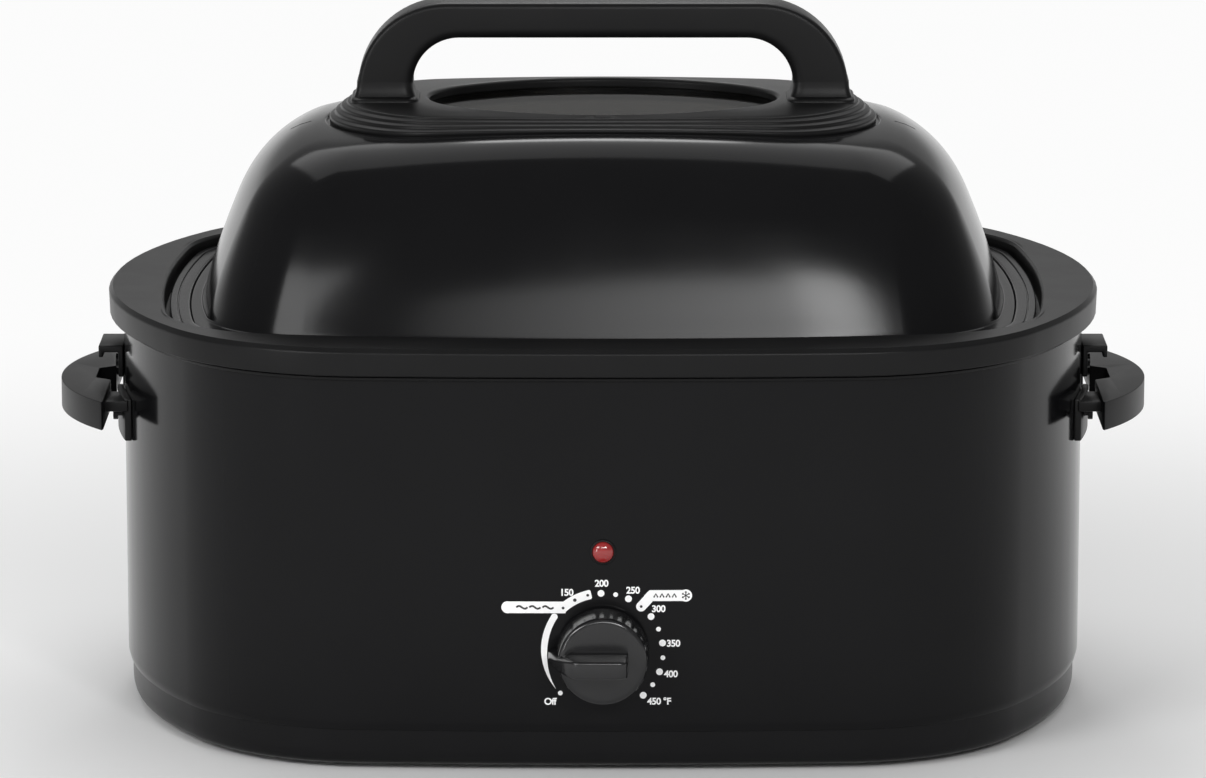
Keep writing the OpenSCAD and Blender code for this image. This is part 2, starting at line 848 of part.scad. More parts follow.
module thermostat_shaft() {
    color([0.7, 0.7, 0.7])
    placed()
    difference() {
        translate([0, front_y, knob_z])
        rod_y(shaft_d, -19, 10);
        translate([0, front_y, knob_z])
        rotate([0, knob_rest_angle, 0])
        translate([-5, -19.5, shaft_d / 2 - 1])
        cube([10, 13, 3]);
    }
}

module knob_spring() {
    color([0.6, 0.6, 0.6])
    placed()
    translate([0, front_y, knob_z])
    rotate([0, knob_rest_angle, 0])
    translate([-1.6, -18, shaft_d / 2 - 1])
    cube([3.2, 11, 0.6]);
}

// ---- pan and rack ----
module roasting_pan() {
    pan = grow(RECESS, -pan_in);
    rim_out = pan_in - pan_rim_out;
    r = pan_floor_r;
    floor_top = pan_floor_z + pan_t;
    color([0.03, 0.03, 0.035])
    placed()
    tray(pan, concat(
        [for (a = [90:-15:15]) [(r + pan_t) * (cos(a) - 1), floor_top + r - (r + pan_t) * sin(a)]],
        [[0, floor_top + r], [0, pan_step_z - pan_t], [pan_step_w - 0.2, pan_step_z - pan_t],
         [pan_step_w, pan_rim_z - pan_t], [rim_out - 1.4, pan_rim_z - pan_t],
         [rim_out - 1.2, well_flange_top + GAP], [rim_out, well_flange_top + GAP],
         [rim_out, pan_rim_z - 1], [rim_out - 1, pan_rim_z], [pan_step_w - pan_t, pan_rim_z],
         [pan_step_w - 1.4, pan_step_z], [-pan_t, pan_step_z], [-pan_t, floor_top + r]],
        [for (a = [15:15:90]) [-pan_t - r * (1 - cos(a)), floor_top + r * (1 - sin(a))]]));
}

module wire_rack() {
    ring = grow(RECESS, -rack_in);
    reach = ring[1];
    span = ring[0] - 26;
    leg_x = 150;
    leg_y = 90;
    cross_d = 3;
    grab_y = 40;
    grab_x = rack_edge_x(ring, grab_y) - rack_wire_d / 2;
    grab_h = 32;
    foot_z = pan_floor_z + pan_t + GAP;
    color([0.75, 0.75, 0.75])
    placed()
    union() {
        sweep(ring, [for (a = [0:45:315]) [rack_wire_d / 2 * cos(a), rack_z + rack_wire_d / 2 * sin(a)]]);
        for (i = [0:rack_wires - 1]) {
            x = -span + 2 * span * i / (rack_wires - 1);
            y = rack_edge_y(ring, x);
            wire([x, -y, rack_z + 2], [x, y, rack_z + 2], cross_d);
        }
        for (y = [-leg_y, 0, leg_y]) {
            x = rack_edge_x(ring, y);
            wire([-x, y, rack_z - 1], [x, y, rack_z - 1], rack_wire_d);
        }
        for (x = [-leg_x, leg_x]) {
            for (y = [-leg_y, leg_y]) {
                wire([x, y, foot_z], [x, y, rack_z], rack_wire_d);
            }
        }
        for (side = [-1, 1]) {
            lead([[side * grab_x, -grab_y, rack_z], [side * grab_x, -grab_y, rack_z + grab_h],
                  [side * grab_x, grab_y, rack_z + grab_h], [side * grab_x, grab_y, rack_z]], rack_wire_d);
        }
    }
}

// Where a line across the rack meets its ring
function rack_edge_y(o, x) = abs(x) < corner_x(o)
    ? o[1] - front_r(o) + sqrt(pow(front_r(o), 2) - pow(x, 2))
    : corner_y(o) + sqrt(pow(o[2], 2) - pow(abs(x) - corner_x(o), 2));
function rack_edge_x(o, y) = abs(y) < corner_y(o)
    ? o[0] - end_r(o) + sqrt(pow(end_r(o), 2) - pow(y, 2))
    : corner_x(o) + sqrt(pow(o[2], 2) - pow(abs(y) - corner_y(o), 2));

// ---- lid ----
// Height of the crown over the lid's bottom edge at a place in plan
function crown_at(p) = lid_crown_h - (pow(p[0], 2) + pow(p[1], 2)) / (2 * crown_r);
function bezier(p, t) = pow(1 - t, 2) * p[0] + 2 * t * (1 - t) * p[1] + pow(t, 2) * p[2];
// Outer profile as [inset, height] for a flat crown
LID_PROFILE = concat(
    [[0, 0], [0.4, 3], [7, 7 * wall_slope], [14, 14 * wall_slope]],
    [for (i = [0:8]) bezier(shoulder, i / 8)],
    [for (q = [[10 / 24, 0.962], [18 / 24, 0.981], [1, 1]])
        [shoulder_top + q[0] * (shoulder_w - shoulder_top), q[1] * lid_crown_h]]);
// An oval of the lid: it draws in and rounds off as it rises
function lid_oval(s) = [LID[0] - s, LID[1] - s, LID[2] - 0.3 * s, LID[3], LID[4]];
function lid_ring(s, h, drop) = [
    for (p = oval_pts(lid_oval(s))) [p[0], p[1], lid_z + lid_t + h * crown_at(p) / lid_crown_h - drop]];

module lid_shell() {
    last = len(LID_PROFILE) - 1;
    rings = concat(
        [flat_ring(grow(LID, lid_flange_w), lid_z), flat_ring(grow(LID, lid_flange_w), lid_z + lid_t)],
        [for (q = LID_PROFILE) lid_ring(q[0], q[1], 0)],
        [flat_ring(lid_oval(shoulder_w + seat_step_w), seat_z), flat_ring(LID_OPENING, seat_z),
         flat_ring(LID_OPENING, seat_z - lid_t),
         flat_ring(lid_oval(shoulder_w + seat_step_w + 1), seat_z - lid_t)],
        [for (i = [last:-1:2]) lid_ring(LID_PROFILE[i][0] + inner_in(i), LID_PROFILE[i][1], inner_drop(i))],
        [flat_ring(grow(LID, -lid_t), lid_z)]);
    color([0.035, 0.035, 0.038])
    placed()
    difference() {
        loft(rings, true);
        for (side = [-1, 1]) {
            translate([side * (LID[0] - shoulder_w + vent_out), 0, seat_z])
            cube([12, vent_w, 30], center = true);
        }
    }
}

// Inner skin of the lid: inset on the wall, lowered on the crown
function inner_in(i) = lid_t * (1 - LID_PROFILE[i][1] / (1.02 * lid_crown_h));
function inner_drop(i) = lid_t * max(0.3, LID_PROFILE[i][1] / lid_crown_h);

module window_glass() {
    color([0.2, 0.2, 0.2, 0.4])
    placed()
    window_oval(glass_edge, glass_z, glass_z + glass_t);
}

module window_gasket() {
    color([0.05, 0.05, 0.05])
    placed()
    difference() {
        window_oval(gasket_w + 2, frame_top_z, bezel_top_z - 4);
        window_oval(gasket_lip, frame_top_z - NUDGE, bezel_top_z);
        window_oval(glass_edge, glass_z, glass_z + glass_t);
    }
}

module lid_handle() {
    inner_half = handle_half_w - leg_w;
    color([0.05, 0.05, 0.052])
    placed()
    difference() {
        union() {
            plate(BEZEL, seat_z, seat_z + 3);
            plate(grow(BEZEL, -3), seat_z + 3, seat_z + 6.5);
            plate(grow(BEZEL, -6), seat_z + 6.5, seat_z + 9.5);
            plate(grow(BEZEL, -9), seat_z + 9.5, bezel_top_z);
            translate([0, lid_handle_d / 2, 0])
            rotate([90, 0, 0])
            linear_extrude(height = lid_handle_d)
            handle_outline(inner_half);
            for (side = [-1, 1]) {
                translate([side * (handle_half_w - leg_w / 2), 0, seat_z + 5])
                cube([leg_w + 8, lid_handle_d + 12, 10], center = true);
            }
        }
        window_oval(0, seat_z - 1, bezel_top_z + 1);
        window_oval(gasket_w + 2, seat_z - 1, bezel_top_z - 4);
        for (p = frame_screws_at) {
            translate([p[0], p[1], seat_z - 1])
            cylinder(d = screw_d + 2 * FIT, h = 8, $fn = SMALL_FN);
        }
    }
}

// Arch of the handle: two legs and a bar with rounded corners
module handle_outline(inner_half) {
    difference() {
        intersection() {
            arch(handle_half_w, grip_top_z, grip_outer_r);
            translate([-handle_half_w, seat_z + 4])
            square([2 * handle_half_w, grip_top_z]);
        }
        arch(inner_half, grip_under_z, grip_inner_r);
    }
}

module arch(half, top, r) {
    translate([-half, 0])
    square([2 * half, top - r]);
    translate([r - half, top - r - 1])
    square([2 * (half - r), r + 1]);
    for (side = [-1, 1]) {
        translate([side * (half - r), top - r])
        circle(r = r);
    }
}

module window_frame() {
    color([0.05, 0.05, 0.05])
    placed()
    difference() {
        plate(grow(BEZEL, -2), frame_top_z - frame_t, frame_top_z);
        window_oval(2, frame_top_z - frame_t - NUDGE, frame_top_z + NUDGE);
        for (p = frame_screws_at) {
            translate([p[0], p[1], frame_top_z - frame_t - NUDGE])
            cylinder(d = screw_d + 2 * FIT, h = frame_t + 2 * NUDGE, $fn = SMALL_FN);
        }
    }
}

module frame_screws() {
    color([0.7, 0.7, 0.7])
    placed()
    for (p = frame_screws_at) {
        translate([p[0], p[1], frame_top_z - frame_t - screw_head_h])
        cylinder(d = screw_head_d, h = screw_head_h, $fn = SMALL_FN);
        translate([p[0], p[1], frame_top_z - frame_t - 1])
        cylinder(d = screw_d, h = 10.5, $fn = SMALL_FN);
    }
}

outer_shell();
rim_collar();
base_pan();
heat_well();
insulation_wrap();
heating_band();
band_clamp();
thermostat_body();
thermostat_bracket();
thermostat_screws();
sensor_bulb();
indicator_lens();
lamp_holder();
terminal_block();
wiring_leads();
cord_bush();
tie_posts();
rubber_feet();
base_screws();
side_handle_left();
side_handle_right();
lid_rest_left();
lid_rest_right();
handle_screws();
handle_nuts();
control_knob();
thermostat_shaft();
knob_spring();
roasting_pan();
wire_rack();
lid_shell();
window_glass();
window_gasket();
lid_handle();
window_frame();
frame_screws();
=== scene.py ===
"""Electric roaster oven: an oval body with a lift-off domed lid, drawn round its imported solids."""

from math import acos, atan2, cos, hypot, pi, radians, sin, sqrt

import bmesh
import bpy
from mathutils import Matrix, Vector


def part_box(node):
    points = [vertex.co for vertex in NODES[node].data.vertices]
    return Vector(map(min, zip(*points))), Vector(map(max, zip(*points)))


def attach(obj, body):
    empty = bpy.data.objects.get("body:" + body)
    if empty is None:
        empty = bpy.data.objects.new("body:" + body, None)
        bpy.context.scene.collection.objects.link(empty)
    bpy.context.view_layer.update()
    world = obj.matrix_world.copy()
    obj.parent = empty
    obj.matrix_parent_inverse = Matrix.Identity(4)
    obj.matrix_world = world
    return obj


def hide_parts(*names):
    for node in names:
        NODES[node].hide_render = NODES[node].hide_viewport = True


bl_info = {
    "name": "Roaster Oven",
    "version": (1, 0, 0),
    "blender": (4, 5, 0),
    "location": "3D View > Sidebar > Roaster",
    "description": "Builds an electric roaster oven with a lift-off lid, a pan, a rack and a dial",
    "category": "Add Mesh",
}

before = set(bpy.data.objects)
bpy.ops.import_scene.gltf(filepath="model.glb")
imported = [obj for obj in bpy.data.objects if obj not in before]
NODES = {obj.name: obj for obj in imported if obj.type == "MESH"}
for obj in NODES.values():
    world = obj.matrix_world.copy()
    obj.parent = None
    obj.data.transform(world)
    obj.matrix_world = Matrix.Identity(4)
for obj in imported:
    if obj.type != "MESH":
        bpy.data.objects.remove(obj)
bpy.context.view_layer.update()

MM = 0.001
TAU = 2 * pi


def node_box(name):
    """Lowest and highest corner of a solid, in millimetres."""
    low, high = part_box(name)
    return [c / MM for c in low], [c / MM for c in high]


# The body's middle lies behind the origin, because the knob stands out in front
RIM_LOW, RIM_HIGH = node_box("rim_collar")
BODY_Y = (RIM_LOW[1] + RIM_HIGH[1]) / 2
RIM_TOP = RIM_HIGH[2]
RIM_OVERHANG = 8.2
WALL_TOP = RIM_TOP - 1.5

# An oval is (half length, half depth, corner radius, end bow, front bow), in millimetres
WALL = (RIM_HIGH[0] - RIM_OVERHANG, (RIM_HIGH[1] - RIM_LOW[1]) / 2 - RIM_OVERHANG, 120.5, 23, 3.5)
RECESS = (WALL[0] - 24, WALL[1] - 25.5, 74, 6, 12)
BEZEL = (143, 87, 62, 6, 6)
SURROUND = (153, 87, 62, 8, 6)
END_STEPS, CORNER_STEPS, FRONT_STEPS = 10, 34, 16

LID_LOW = node_box("lid_shell")[0][2]
LID_SHEET = 1.2
# The crown falls by the square of the distance from its middle over this
CROWN_SPAN = 2740
# The lid handle's half length and the width of its legs
ARCH_HALF, ARCH_LEG = 137, 31.0
LEAST_RADIUS = 1e-4
# Edges sharper than this stay edges, and eased() rounds those past the second, in degrees
SMOOTH, EASED_ANGLE = 32, 38

# Gaps between the wall and the layers of the print, in millimetres
WHITE_COATS = (0.07, 0.08, 0.09, 0.1)
BLACK_COATS = (0.13, 0.14)

# Studio, in metres, degrees and watts; the camera's lens is in millimetres
CAMERA_LENS, CAMERA_TILT = 194.03, 78.5053
CAMERA_DISTANCE, CAMERA_HEIGHT = 3.59465, 0.9015
FLOOR_HALF = 30
SHADOW_EDGE, WHITE_EDGE = 0.4, 1.15
SKY = ((0.0, 0.95), (0.05, 0.9), (0.15, 0.36), (0.3, 0.28))
RAYS_SEEN = ("Is Camera Ray", "Is Glossy Ray", "Is Transmission Ray")
# A lamp is (name, size, power, place, aim)
LAMPS = [
    ("back_light", (0.6, 0.8), 8, (0, 2.2, 1.95), (0, 0, 0.2)),
    ("overhead", (3.4, 2.6), 42, (0, 1.5, 2.6), (0, 0.3, 0.1)),
    ("left_box", (1.14, 0.5), 18, (-1.366, -1.711, 1.176), (-0.1, 0, 0.22)),
    ("left_strip", (0.1, 0.6), 5, (-1.56, -1.8, 0.34), (-0.1, 0, 0.2)),
]


# Settings


def measure(name, description, default, low, high):
    """A length with its default, least and greatest value in millimetres."""
    return bpy.props.FloatProperty(name=name, description=description, unit="LENGTH",
                                   default=default * MM, min=low * MM, max=high * MM)


def amount(name, description, default):
    return bpy.props.FloatProperty(name=name, description=description, default=default,
                                   subtype="FACTOR", min=0, max=1)


def tint(name, description, default):
    return bpy.props.FloatVectorProperty(name=name, description=description, default=default,
                                         subtype="COLOR", size=3, min=0, max=1)


class RoasterSizes(bpy.types.PropertyGroup):
    """Sizes of the dressed pieces that a user would change."""

    seam_height: measure("Seam height", "Height of the seam between the shell and the base pan", 23.5, 15, 40)
    band_height: measure("Collar band", "Height of the collar's outer band", 15, 10, 20)
    edge_round: measure("Edge rounding", "Rounding along moulded edges", 0.9, 0.5, 4)
    crown_height: measure("Lid crown", "Height of the lid's crown over its bottom edge", 105.5, 90, 120)
    grip_depth: measure("Handle depth", "Thickness of the lid handle, front to back", 30, 20, 36)
    dial_radius: measure("Dial radius", "Radius of the ring of printed dots", 32.3, 28, 40)
    numeral_height: measure("Numeral height", "Height of the printed numerals", 3.6, 2, 6)


class RoasterFinishes(bpy.types.PropertyGroup):
    """Colours and finishes that a user would change."""

    enamel: tint("Enamel", "Baked enamel of the body and the lid", (0.0045, 0.0045, 0.0049))
    enamel_roughness: amount("Enamel roughness", "Roughness of the baked enamel", 0.13)
    moulding: tint("Moulding", "Satin moulding of the collar and the handles", (0.006, 0.006, 0.0062))
    moulding_roughness: amount("Moulding roughness", "Roughness of the satin moulding", 0.36)
    knob: tint("Knob", "Glossy moulding of the knob", (0.008, 0.008, 0.0085))
    ink: tint("Print", "Ink of the dial print", (0.94, 0.94, 0.94))
    lamp: tint("Lamp", "Lens of the indicator lamp", (0.235, 0.014, 0.014))
    glass: tint("Window glass", "Tint of the tempered window", (0.34, 0.32, 0.28))
    floor: tint("Floor", "Colour of the studio floor", (0.91, 0.91, 0.91))


# Materials


class Socket:
    """An output of a shader tree that takes part in Python arithmetic."""

    def __init__(self, tree, socket):
        self.tree = tree
        self.socket = socket

    def _math(self, operation, first, second):
        return self.tree.node("ShaderNodeMath", {"operation": operation}, {0: first, 1: second})

    def __add__(self, other):
        return self._math("ADD", self, other)

    def __rsub__(self, other):
        return self._math("SUBTRACT", other, self)

    def __mul__(self, other):
        return self._math("MULTIPLY", self, other)


class Tree:
    """Builds the nodes of one material or of the world."""

    def __init__(self, tree):
        self.nodes = tree.nodes
        self.links = tree.links
        self.nodes.clear()

    def node(self, kind, settings=None, inputs=None, output=0):
        made = self.nodes.new(kind)
        for key, value in (settings or {}).items():
            setattr(made, key, value)
        for key, value in (inputs or {}).items():
            if isinstance(value, Socket):
                self.links.new(value.socket, made.inputs[key])
            else:
                made.inputs[key].default_value = value
        return Socket(self, made.outputs[output]) if made.outputs else None

    def place(self):
        """Place on the object, in metres."""
        return self.node("ShaderNodeTexCoord", output="Object")

    def noise(self, scale, detail, stretch=None, roughness=0.5):
        where = self.place()
        if stretch:
            where = self.node("ShaderNodeVectorMath", {"operation": "MULTIPLY"}, {0: where, 1: stretch})
        return self.node("ShaderNodeTexNoise", {}, {
            "Vector": where, "Scale": scale, "Detail": detail, "Roughness": roughness})

    def cells(self, scale):
        return self.node("ShaderNodeTexVoronoi", {}, {"Vector": self.place(), "Scale": scale})

    def band(self, value, low, high):
        """Runs from 0 to 1 as the value goes from low to high."""
        return self.node("ShaderNodeMapRange", {"interpolation_type": "SMOOTHSTEP"}, {
            "Value": value, "From Min": low, "From Max": high})

    def ramp(self, value, greys):
        """Grey values at their places between 0 and 1."""
        out = self.node("ShaderNodeValToRGB", {}, {"Fac": value})
        elements = out.socket.node.color_ramp.elements
        elements.remove(elements[0])
        for i, (place, level) in enumerate(greys):
            element = elements[0] if i == 0 else elements.new(place)
            element.position, element.color = place, opaque(grey(level))
        return out

    def finish(self, roughness, tones=None, bump=None, **more):
        """A surface; tones are (factor, colour, colour), and bump is (height, strength, distance)."""
        inputs = {key.replace("_", " "): value for key, value in more.items()}
        inputs["Roughness"] = roughness
        if tones:
            factor, first, second = tones
            inputs["Base Color"] = self.node("ShaderNodeMix", {"data_type": "RGBA"}, {
                0: factor, 6: opaque(first), 7: opaque(second)}, output=2)
        if bump:
            height, strength, distance = bump
            inputs["Normal"] = self.node("ShaderNodeBump", {}, {
                "Height": height, "Strength": strength, "Distance": distance})
        shader = self.node("ShaderNodeBsdfPrincipled", {}, inputs)
        self.node("ShaderNodeOutputMaterial", {}, {"Surface": shader})


def opaque(colour):
    return (*colour, 1.0)


def grey(value):
    return (value, value, value)


def shade(colour, factor):
    return tuple(min(1.0, c * factor) for c in colour)


def baked_enamel(tree, f):
    """Gloss enamel on sheet steel: a faint orange peel, and roughness that drifts a little."""
    peel = tree.noise(330, 2) * 0.7 + tree.noise(1100, 1) * 0.3
    drift = tree.noise(16, 3)
    tree.finish(drift * 0.07 + (f.enamel_roughness - 0.035), (drift, f.enamel, shade(f.enamel, 1.35)),
                (peel, 0.035, 0.0003), Specular_IOR_Level=0.13)


def base_enamel(tree, f):
    """Semi-gloss paint of the base pan, a little rougher than the body."""
    drift = tree.noise(22, 3)
    tree.finish(drift * 0.1 + (f.enamel_roughness + 0.07), (drift, f.enamel, shade(f.enamel, 1.5)),
                (tree.noise(420, 2), 0.06, 0.0003), Specular_IOR_Level=0.15)


def satin_moulding(tree, f):
    """Heat-resistant moulding: a fine spark-eroded grain under a satin sheen."""
    grain = tree.cells(2600) * 0.6 + tree.noise(1500, 2) * 0.4
    drift = tree.noise(30, 3)
    tree.finish(drift * 0.1 + (f.moulding_roughness - 0.05), (drift, f.moulding, shade(f.moulding, 1.4)),
                (grain, 0.1, 0.00012), Specular_IOR_Level=0.14)


def gloss_moulding(tree, f):
    """Glossy moulding of the knob."""
    drift = tree.noise(60, 2)
    tree.finish(drift * 0.08 + 0.13, (drift, f.knob, shade(f.knob, 1.5)), (tree.noise(260, 2), 0.03, 0.0003))


def speckled_enamel(tree, f):
    """Vitreous enamel with fine pale speckles."""
    speckle = 1.0 - tree.band(tree.cells(420), 0.1, 0.2)
    strewn = tree.band(tree.noise(700, 1), 0.6, 0.68)
    tree.finish(tree.noise(40, 2) * 0.08 + 0.12, (speckle * strewn, (0.007, 0.007, 0.0078), (0.1, 0.1, 0.104)),
                (tree.noise(240, 3), 0.08, 0.0004), Specular_IOR_Level=0.14)


def rolled_steel(tree, f):
    """Aluminised sheet: fine rolling lines and a cloudy bloom."""
    lines = tree.noise(180, 3, (1, 1, 26))
    tree.finish(lines * 0.16 + 0.3, (tree.noise(28, 4), (0.46, 0.46, 0.45), (0.66, 0.66, 0.64)),
                (lines, 0.08, 0.0002), Metallic=1.0)


def plated_steel(tree, f):
    """Zinc-plated fittings with a cloudy spangle."""
    spangle = tree.cells(900)
    tree.finish(spangle * 0.14 + 0.25, (tree.noise(160, 3), grey(0.5), (0.7, 0.7, 0.69)),
                (spangle, 0.08, 0.0001), Metallic=1.0)


def bright_wire(tree, f):
    """Chromed wire with faint drawing lines."""
    drawn = tree.noise(900, 2)
    tree.finish(drawn * 0.1 + 0.06, (drawn, (0.74, 0.74, 0.75), grey(0.86)), (drawn, 0.03, 0.0001), Metallic=1.0)


def mineral_wool(tree, f):
    """Matted fibres, yellowish with darker clumps."""
    fibres = tree.noise(1400, 6, (1, 1, 3.5), 0.7)
    clumps = tree.noise(90, 4)
    tree.finish(0.95, (clumps, (0.42, 0.34, 0.19), (0.72, 0.65, 0.46)), (fibres * 0.6 + clumps, 0.8, 0.002),
                Sheen_Weight=0.3)


def mica_band(tree, f):
    """Mica-wrapped heating strip with a scaly shimmer."""
    scales = tree.cells(380)
    tree.finish(scales * 0.3 + 0.35, (scales, (0.2, 0.17, 0.14), (0.42, 0.37, 0.3)), (scales, 0.3, 0.0004))


def fired_ceramic(tree, f):
    """Unglazed steatite with fine pores."""
    pores = tree.band(tree.cells(1700), 0.08, 0.3)
    tree.finish(tree.noise(200, 2) * 0.2 + 0.55, (tree.noise(70, 3), (0.66, 0.61, 0.52), (0.8, 0.77, 0.7)),
                (pores, 0.15, 0.0002))


def drawn_copper(tree, f):
    """Copper capillary with a dull oxide bloom."""
    bloom = tree.noise(140, 4)
    tree.finish(bloom * 0.3 + 0.22, (bloom, (0.62, 0.3, 0.17), (0.34, 0.16, 0.1)), (bloom, 0.05, 0.0002),
                Metallic=1.0)


def glass_sleeve(tree, f):
    """Woven glass sleeve over the leads."""
    weave = tree.noise(1900, 2)
    tree.finish(0.8, (weave, (0.5, 0.47, 0.38), (0.74, 0.71, 0.62)), (weave, 0.5, 0.0005))


def moulded_rubber(tree, f):
    """Black rubber, matt and a little dusty."""
    dust = tree.noise(55, 4)
    tree.finish(dust * 0.15 + 0.6, (dust, grey(0.012), (0.035, 0.034, 0.033)), (tree.noise(1600, 3), 0.2, 0.0002))


def ruby_dome(tree, f):
    """Clear red lens over a neon lamp, with a faint mould swirl."""
    swirl = tree.noise(300, 2)
    tree.finish(swirl * 0.06 + 0.1, (swirl, f.lamp, shade(f.lamp, 1.3)), (swirl, 0.03, 0.0003), Coat_Weight=0.6)


def white_ink(tree, f):
    """Screen-printed ink with a slightly uneven film."""
    film = tree.noise(900, 3)
    tree.finish(film * 0.2 + 0.38, (film, f.ink, shade(f.ink, 0.93)), (film, 0.05, 0.00005))


def black_ink(tree, f):
    """The black signs in the print."""
    film = tree.noise(900, 3)
    tree.finish(film * 0.1 + 0.3, (film, grey(0.006), grey(0.012)))


def smoky_glass(tree, f):
    """Tempered glass with a brown-grey tint."""
    tree.finish(tree.noise(20, 2) * 0.03 + 0.03, Base_Color=opaque(f.glass), Transmission_Weight=1.0, IOR=1.07)


# Solids that show as they are, under the finish that each one gets
FITTINGS = {
    base_enamel: ["frame_screws", "handle_screws", "handle_nuts"],
    satin_moulding: ["window_frame"],
    plated_steel: ["band_clamp", "thermostat_bracket", "thermostat_screws", "tie_posts", "base_screws",
                   "thermostat_shaft", "knob_spring"],
    mica_band: ["heating_band"],
    fired_ceramic: ["thermostat_body", "lamp_holder", "terminal_block"],
    drawn_copper: ["sensor_bulb"],
    glass_sleeve: ["wiring_leads"],
    moulded_rubber: ["cord_bush", "rubber_feet", "window_gasket"],
}


def finish_of(recipe):
    """The material of a recipe, made once."""
    name = recipe.__name__
    if name not in bpy.data.materials:
        made = bpy.data.materials.new(name)
        made.use_nodes = True
        recipe(Tree(made.node_tree), bpy.context.scene.roaster_finishes)
    return bpy.data.materials[name]


# Ovals and sections


def grow(o, d):
    return (o[0] + d, o[1] + d, o[2] + d, o[3], o[4])


def arc_radius(across, r, bow):
    return (across ** 2 + (r + bow) ** 2 - r ** 2) / (2 * bow)


def arc(cx, cy, r, a0, a1, n):
    return [(cx + r * cos(a0 + (a1 - a0) * i / n), cy + r * sin(a0 + (a1 - a0) * i / n)) for i in range(n)]


def all_round(quarter, top, left):
    """An outline from its first quarter and from its points on the Y and the -X axis."""
    upper = quarter + [top] + [(-x, y) for x, y in reversed(quarter[1:])] + [left]
    return upper + [(-x, -y) for x, y in upper[1:-1]]


def oval(o):
    """Points of an oval, anticlockwise from +X: end bow, corner and long bow in each quarter."""
    half_l, half_w, r, end_bow, front_bow = o
    cx, cy = half_l - r - end_bow, half_w - r - front_bow
    end_r, front_r = arc_radius(cy, r, end_bow), arc_radius(cx, r, front_bow)
    eh = atan2(cy, cx - (half_l - end_r))
    fh = atan2(cx, cy - (half_w - front_r))
    quarter = (arc(half_l - end_r, 0, end_r, 0, eh, END_STEPS)
               + arc(cx, cy, r, eh, pi / 2 - fh, CORNER_STEPS)
               + arc(0, half_w - front_r, front_r, pi / 2 - fh, pi / 2, FRONT_STEPS))
    return all_round(quarter, (0, half_w), (-half_l, 0))


def at_height(outline, z):
    return [(x, y, z) for x, y in outline]


def flat_ring(o, z):
    return at_height(oval(o), z)


WALL_END_R = arc_radius(WALL[1] - WALL[2] - WALL[4], WALL[2], WALL[3])
WALL_FRONT_R = arc_radius(WALL[0] - WALL[2] - WALL[3], WALL[2], WALL[4])


def front_face(x):
    """Y of the wall's front at x, near the middle."""
    return -(WALL[1] - WALL_FRONT_R + sqrt(WALL_FRONT_R ** 2 - x ** 2))


def end_face(y):
    """X of the wall's right-hand end at y, near the middle."""
    return WALL[0] - WALL_END_R + sqrt(WALL_END_R ** 2 - y ** 2)


def curve(a, b, c, steps):
    """Points of a curve from a to c that leaves and arrives along the lines through b."""
    return [tuple((1 - t) ** 2 * a[j] + 2 * t * (1 - t) * b[j] + t ** 2 * c[j] for j in (0, 1))
            for t in [k / steps for k in range(steps + 1)]]


def softened(points, closed=True, steps=5):
    """Rounds each corner that has a third value, its set-back along both sides."""
    out = []
    last = len(points) - 1
    for i, p in enumerate(points):
        set_back = p[2] if len(p) > 2 else 0
        if not set_back or (not closed and i in (0, last)):
            out.append((p[0], p[1]))
            continue
        ends = []
        for q in (points[i - 1], points[(i + 1) % len(points)]):
            along = (q[0] - p[0], q[1] - p[1])
            length = hypot(*along)
            back = min(set_back, length * 0.49)
            ends.append((p[0] + along[0] / length * back, p[1] + along[1] / length * back))
        out += curve(ends[0], p, ends[1], steps)
    return out


# Meshes


def skin(rings, closed):
    """Vertices and faces over a list of rings; the last ring joins the first, or both ends are capped."""
    n, m = len(rings[0]), len(rings)
    verts = [p for r in rings for p in r]
    faces = []
    for j in range(m if closed else m - 1):
        for i in range(n):
            k, l = (i + 1) % n, (j + 1) % m
            faces.append((j * n + i, j * n + k, l * n + k, l * n + i))
    if not closed:
        faces.append(tuple(reversed(range(n))))
        faces.append(tuple((m - 1) * n + i for i in range(n)))
    return verts, faces


def joined(*parts):
    verts, faces = [], []
    for v, f in parts:
        base = len(verts)
        verts += v
        faces += [tuple(i + base for i in face) for face in f]
    return verts, faces


def moved(part, at=(0, 0, 0), turn=None, mirrored=False):
    """A part turned, moved and then mirrored in X."""
    verts, faces = part
    out = []
    for p in verts:
        q = Vector(p)
        if turn is not None:
            q = turn @ q
        q += Vector(at)
        out.append((-q.x if mirrored else q.x, q.y, q.z))
    if mirrored:
        faces = [tuple(reversed(f)) for f in faces]
    return out, faces


def add_object(name, data):
    obj = bpy.data.objects.new(name, data)
    bpy.context.scene.collection.objects.link(obj)
    return obj


def smooth_by_angle(mesh, degrees):
    mesh.polygons.foreach_set("use_smooth", [True] * len(mesh.polygons))
    mesh.set_sharp_from_angle(angle=radians(degrees))


def to_object(name, part):
    """Makes an object of a part that is drawn in millimetres about the middle of the body."""
    verts, faces = part
    mesh = bpy.data.meshes.new(name)
    mesh.from_pydata([(x * MM, (y + BODY_Y) * MM, z * MM) for x, y, z in verts], [], faces)
    bm = bmesh.new()
    bm.from_mesh(mesh)
    bmesh.ops.recalc_face_normals(bm, faces=bm.faces)
    bm.to_mesh(mesh)
    bm.free()
    return add_object(name, mesh)


def piece(name, part, recipe, smooth, body, slot, *replaced):
    """Makes a piece, hands it to its body and hides the solids it stands for."""
    obj = to_object(name, part)
    obj.data.materials.append(finish_of(recipe))
    smooth_by_angle(obj.data, smooth)
    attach(obj, body)
    if replaced:
        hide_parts(*replaced)


def discard(obj):
    data = obj.data
    bpy.data.objects.remove(obj)
    (bpy.data.meshes if data.id_type == "MESH" else bpy.data.curves).remove(data)


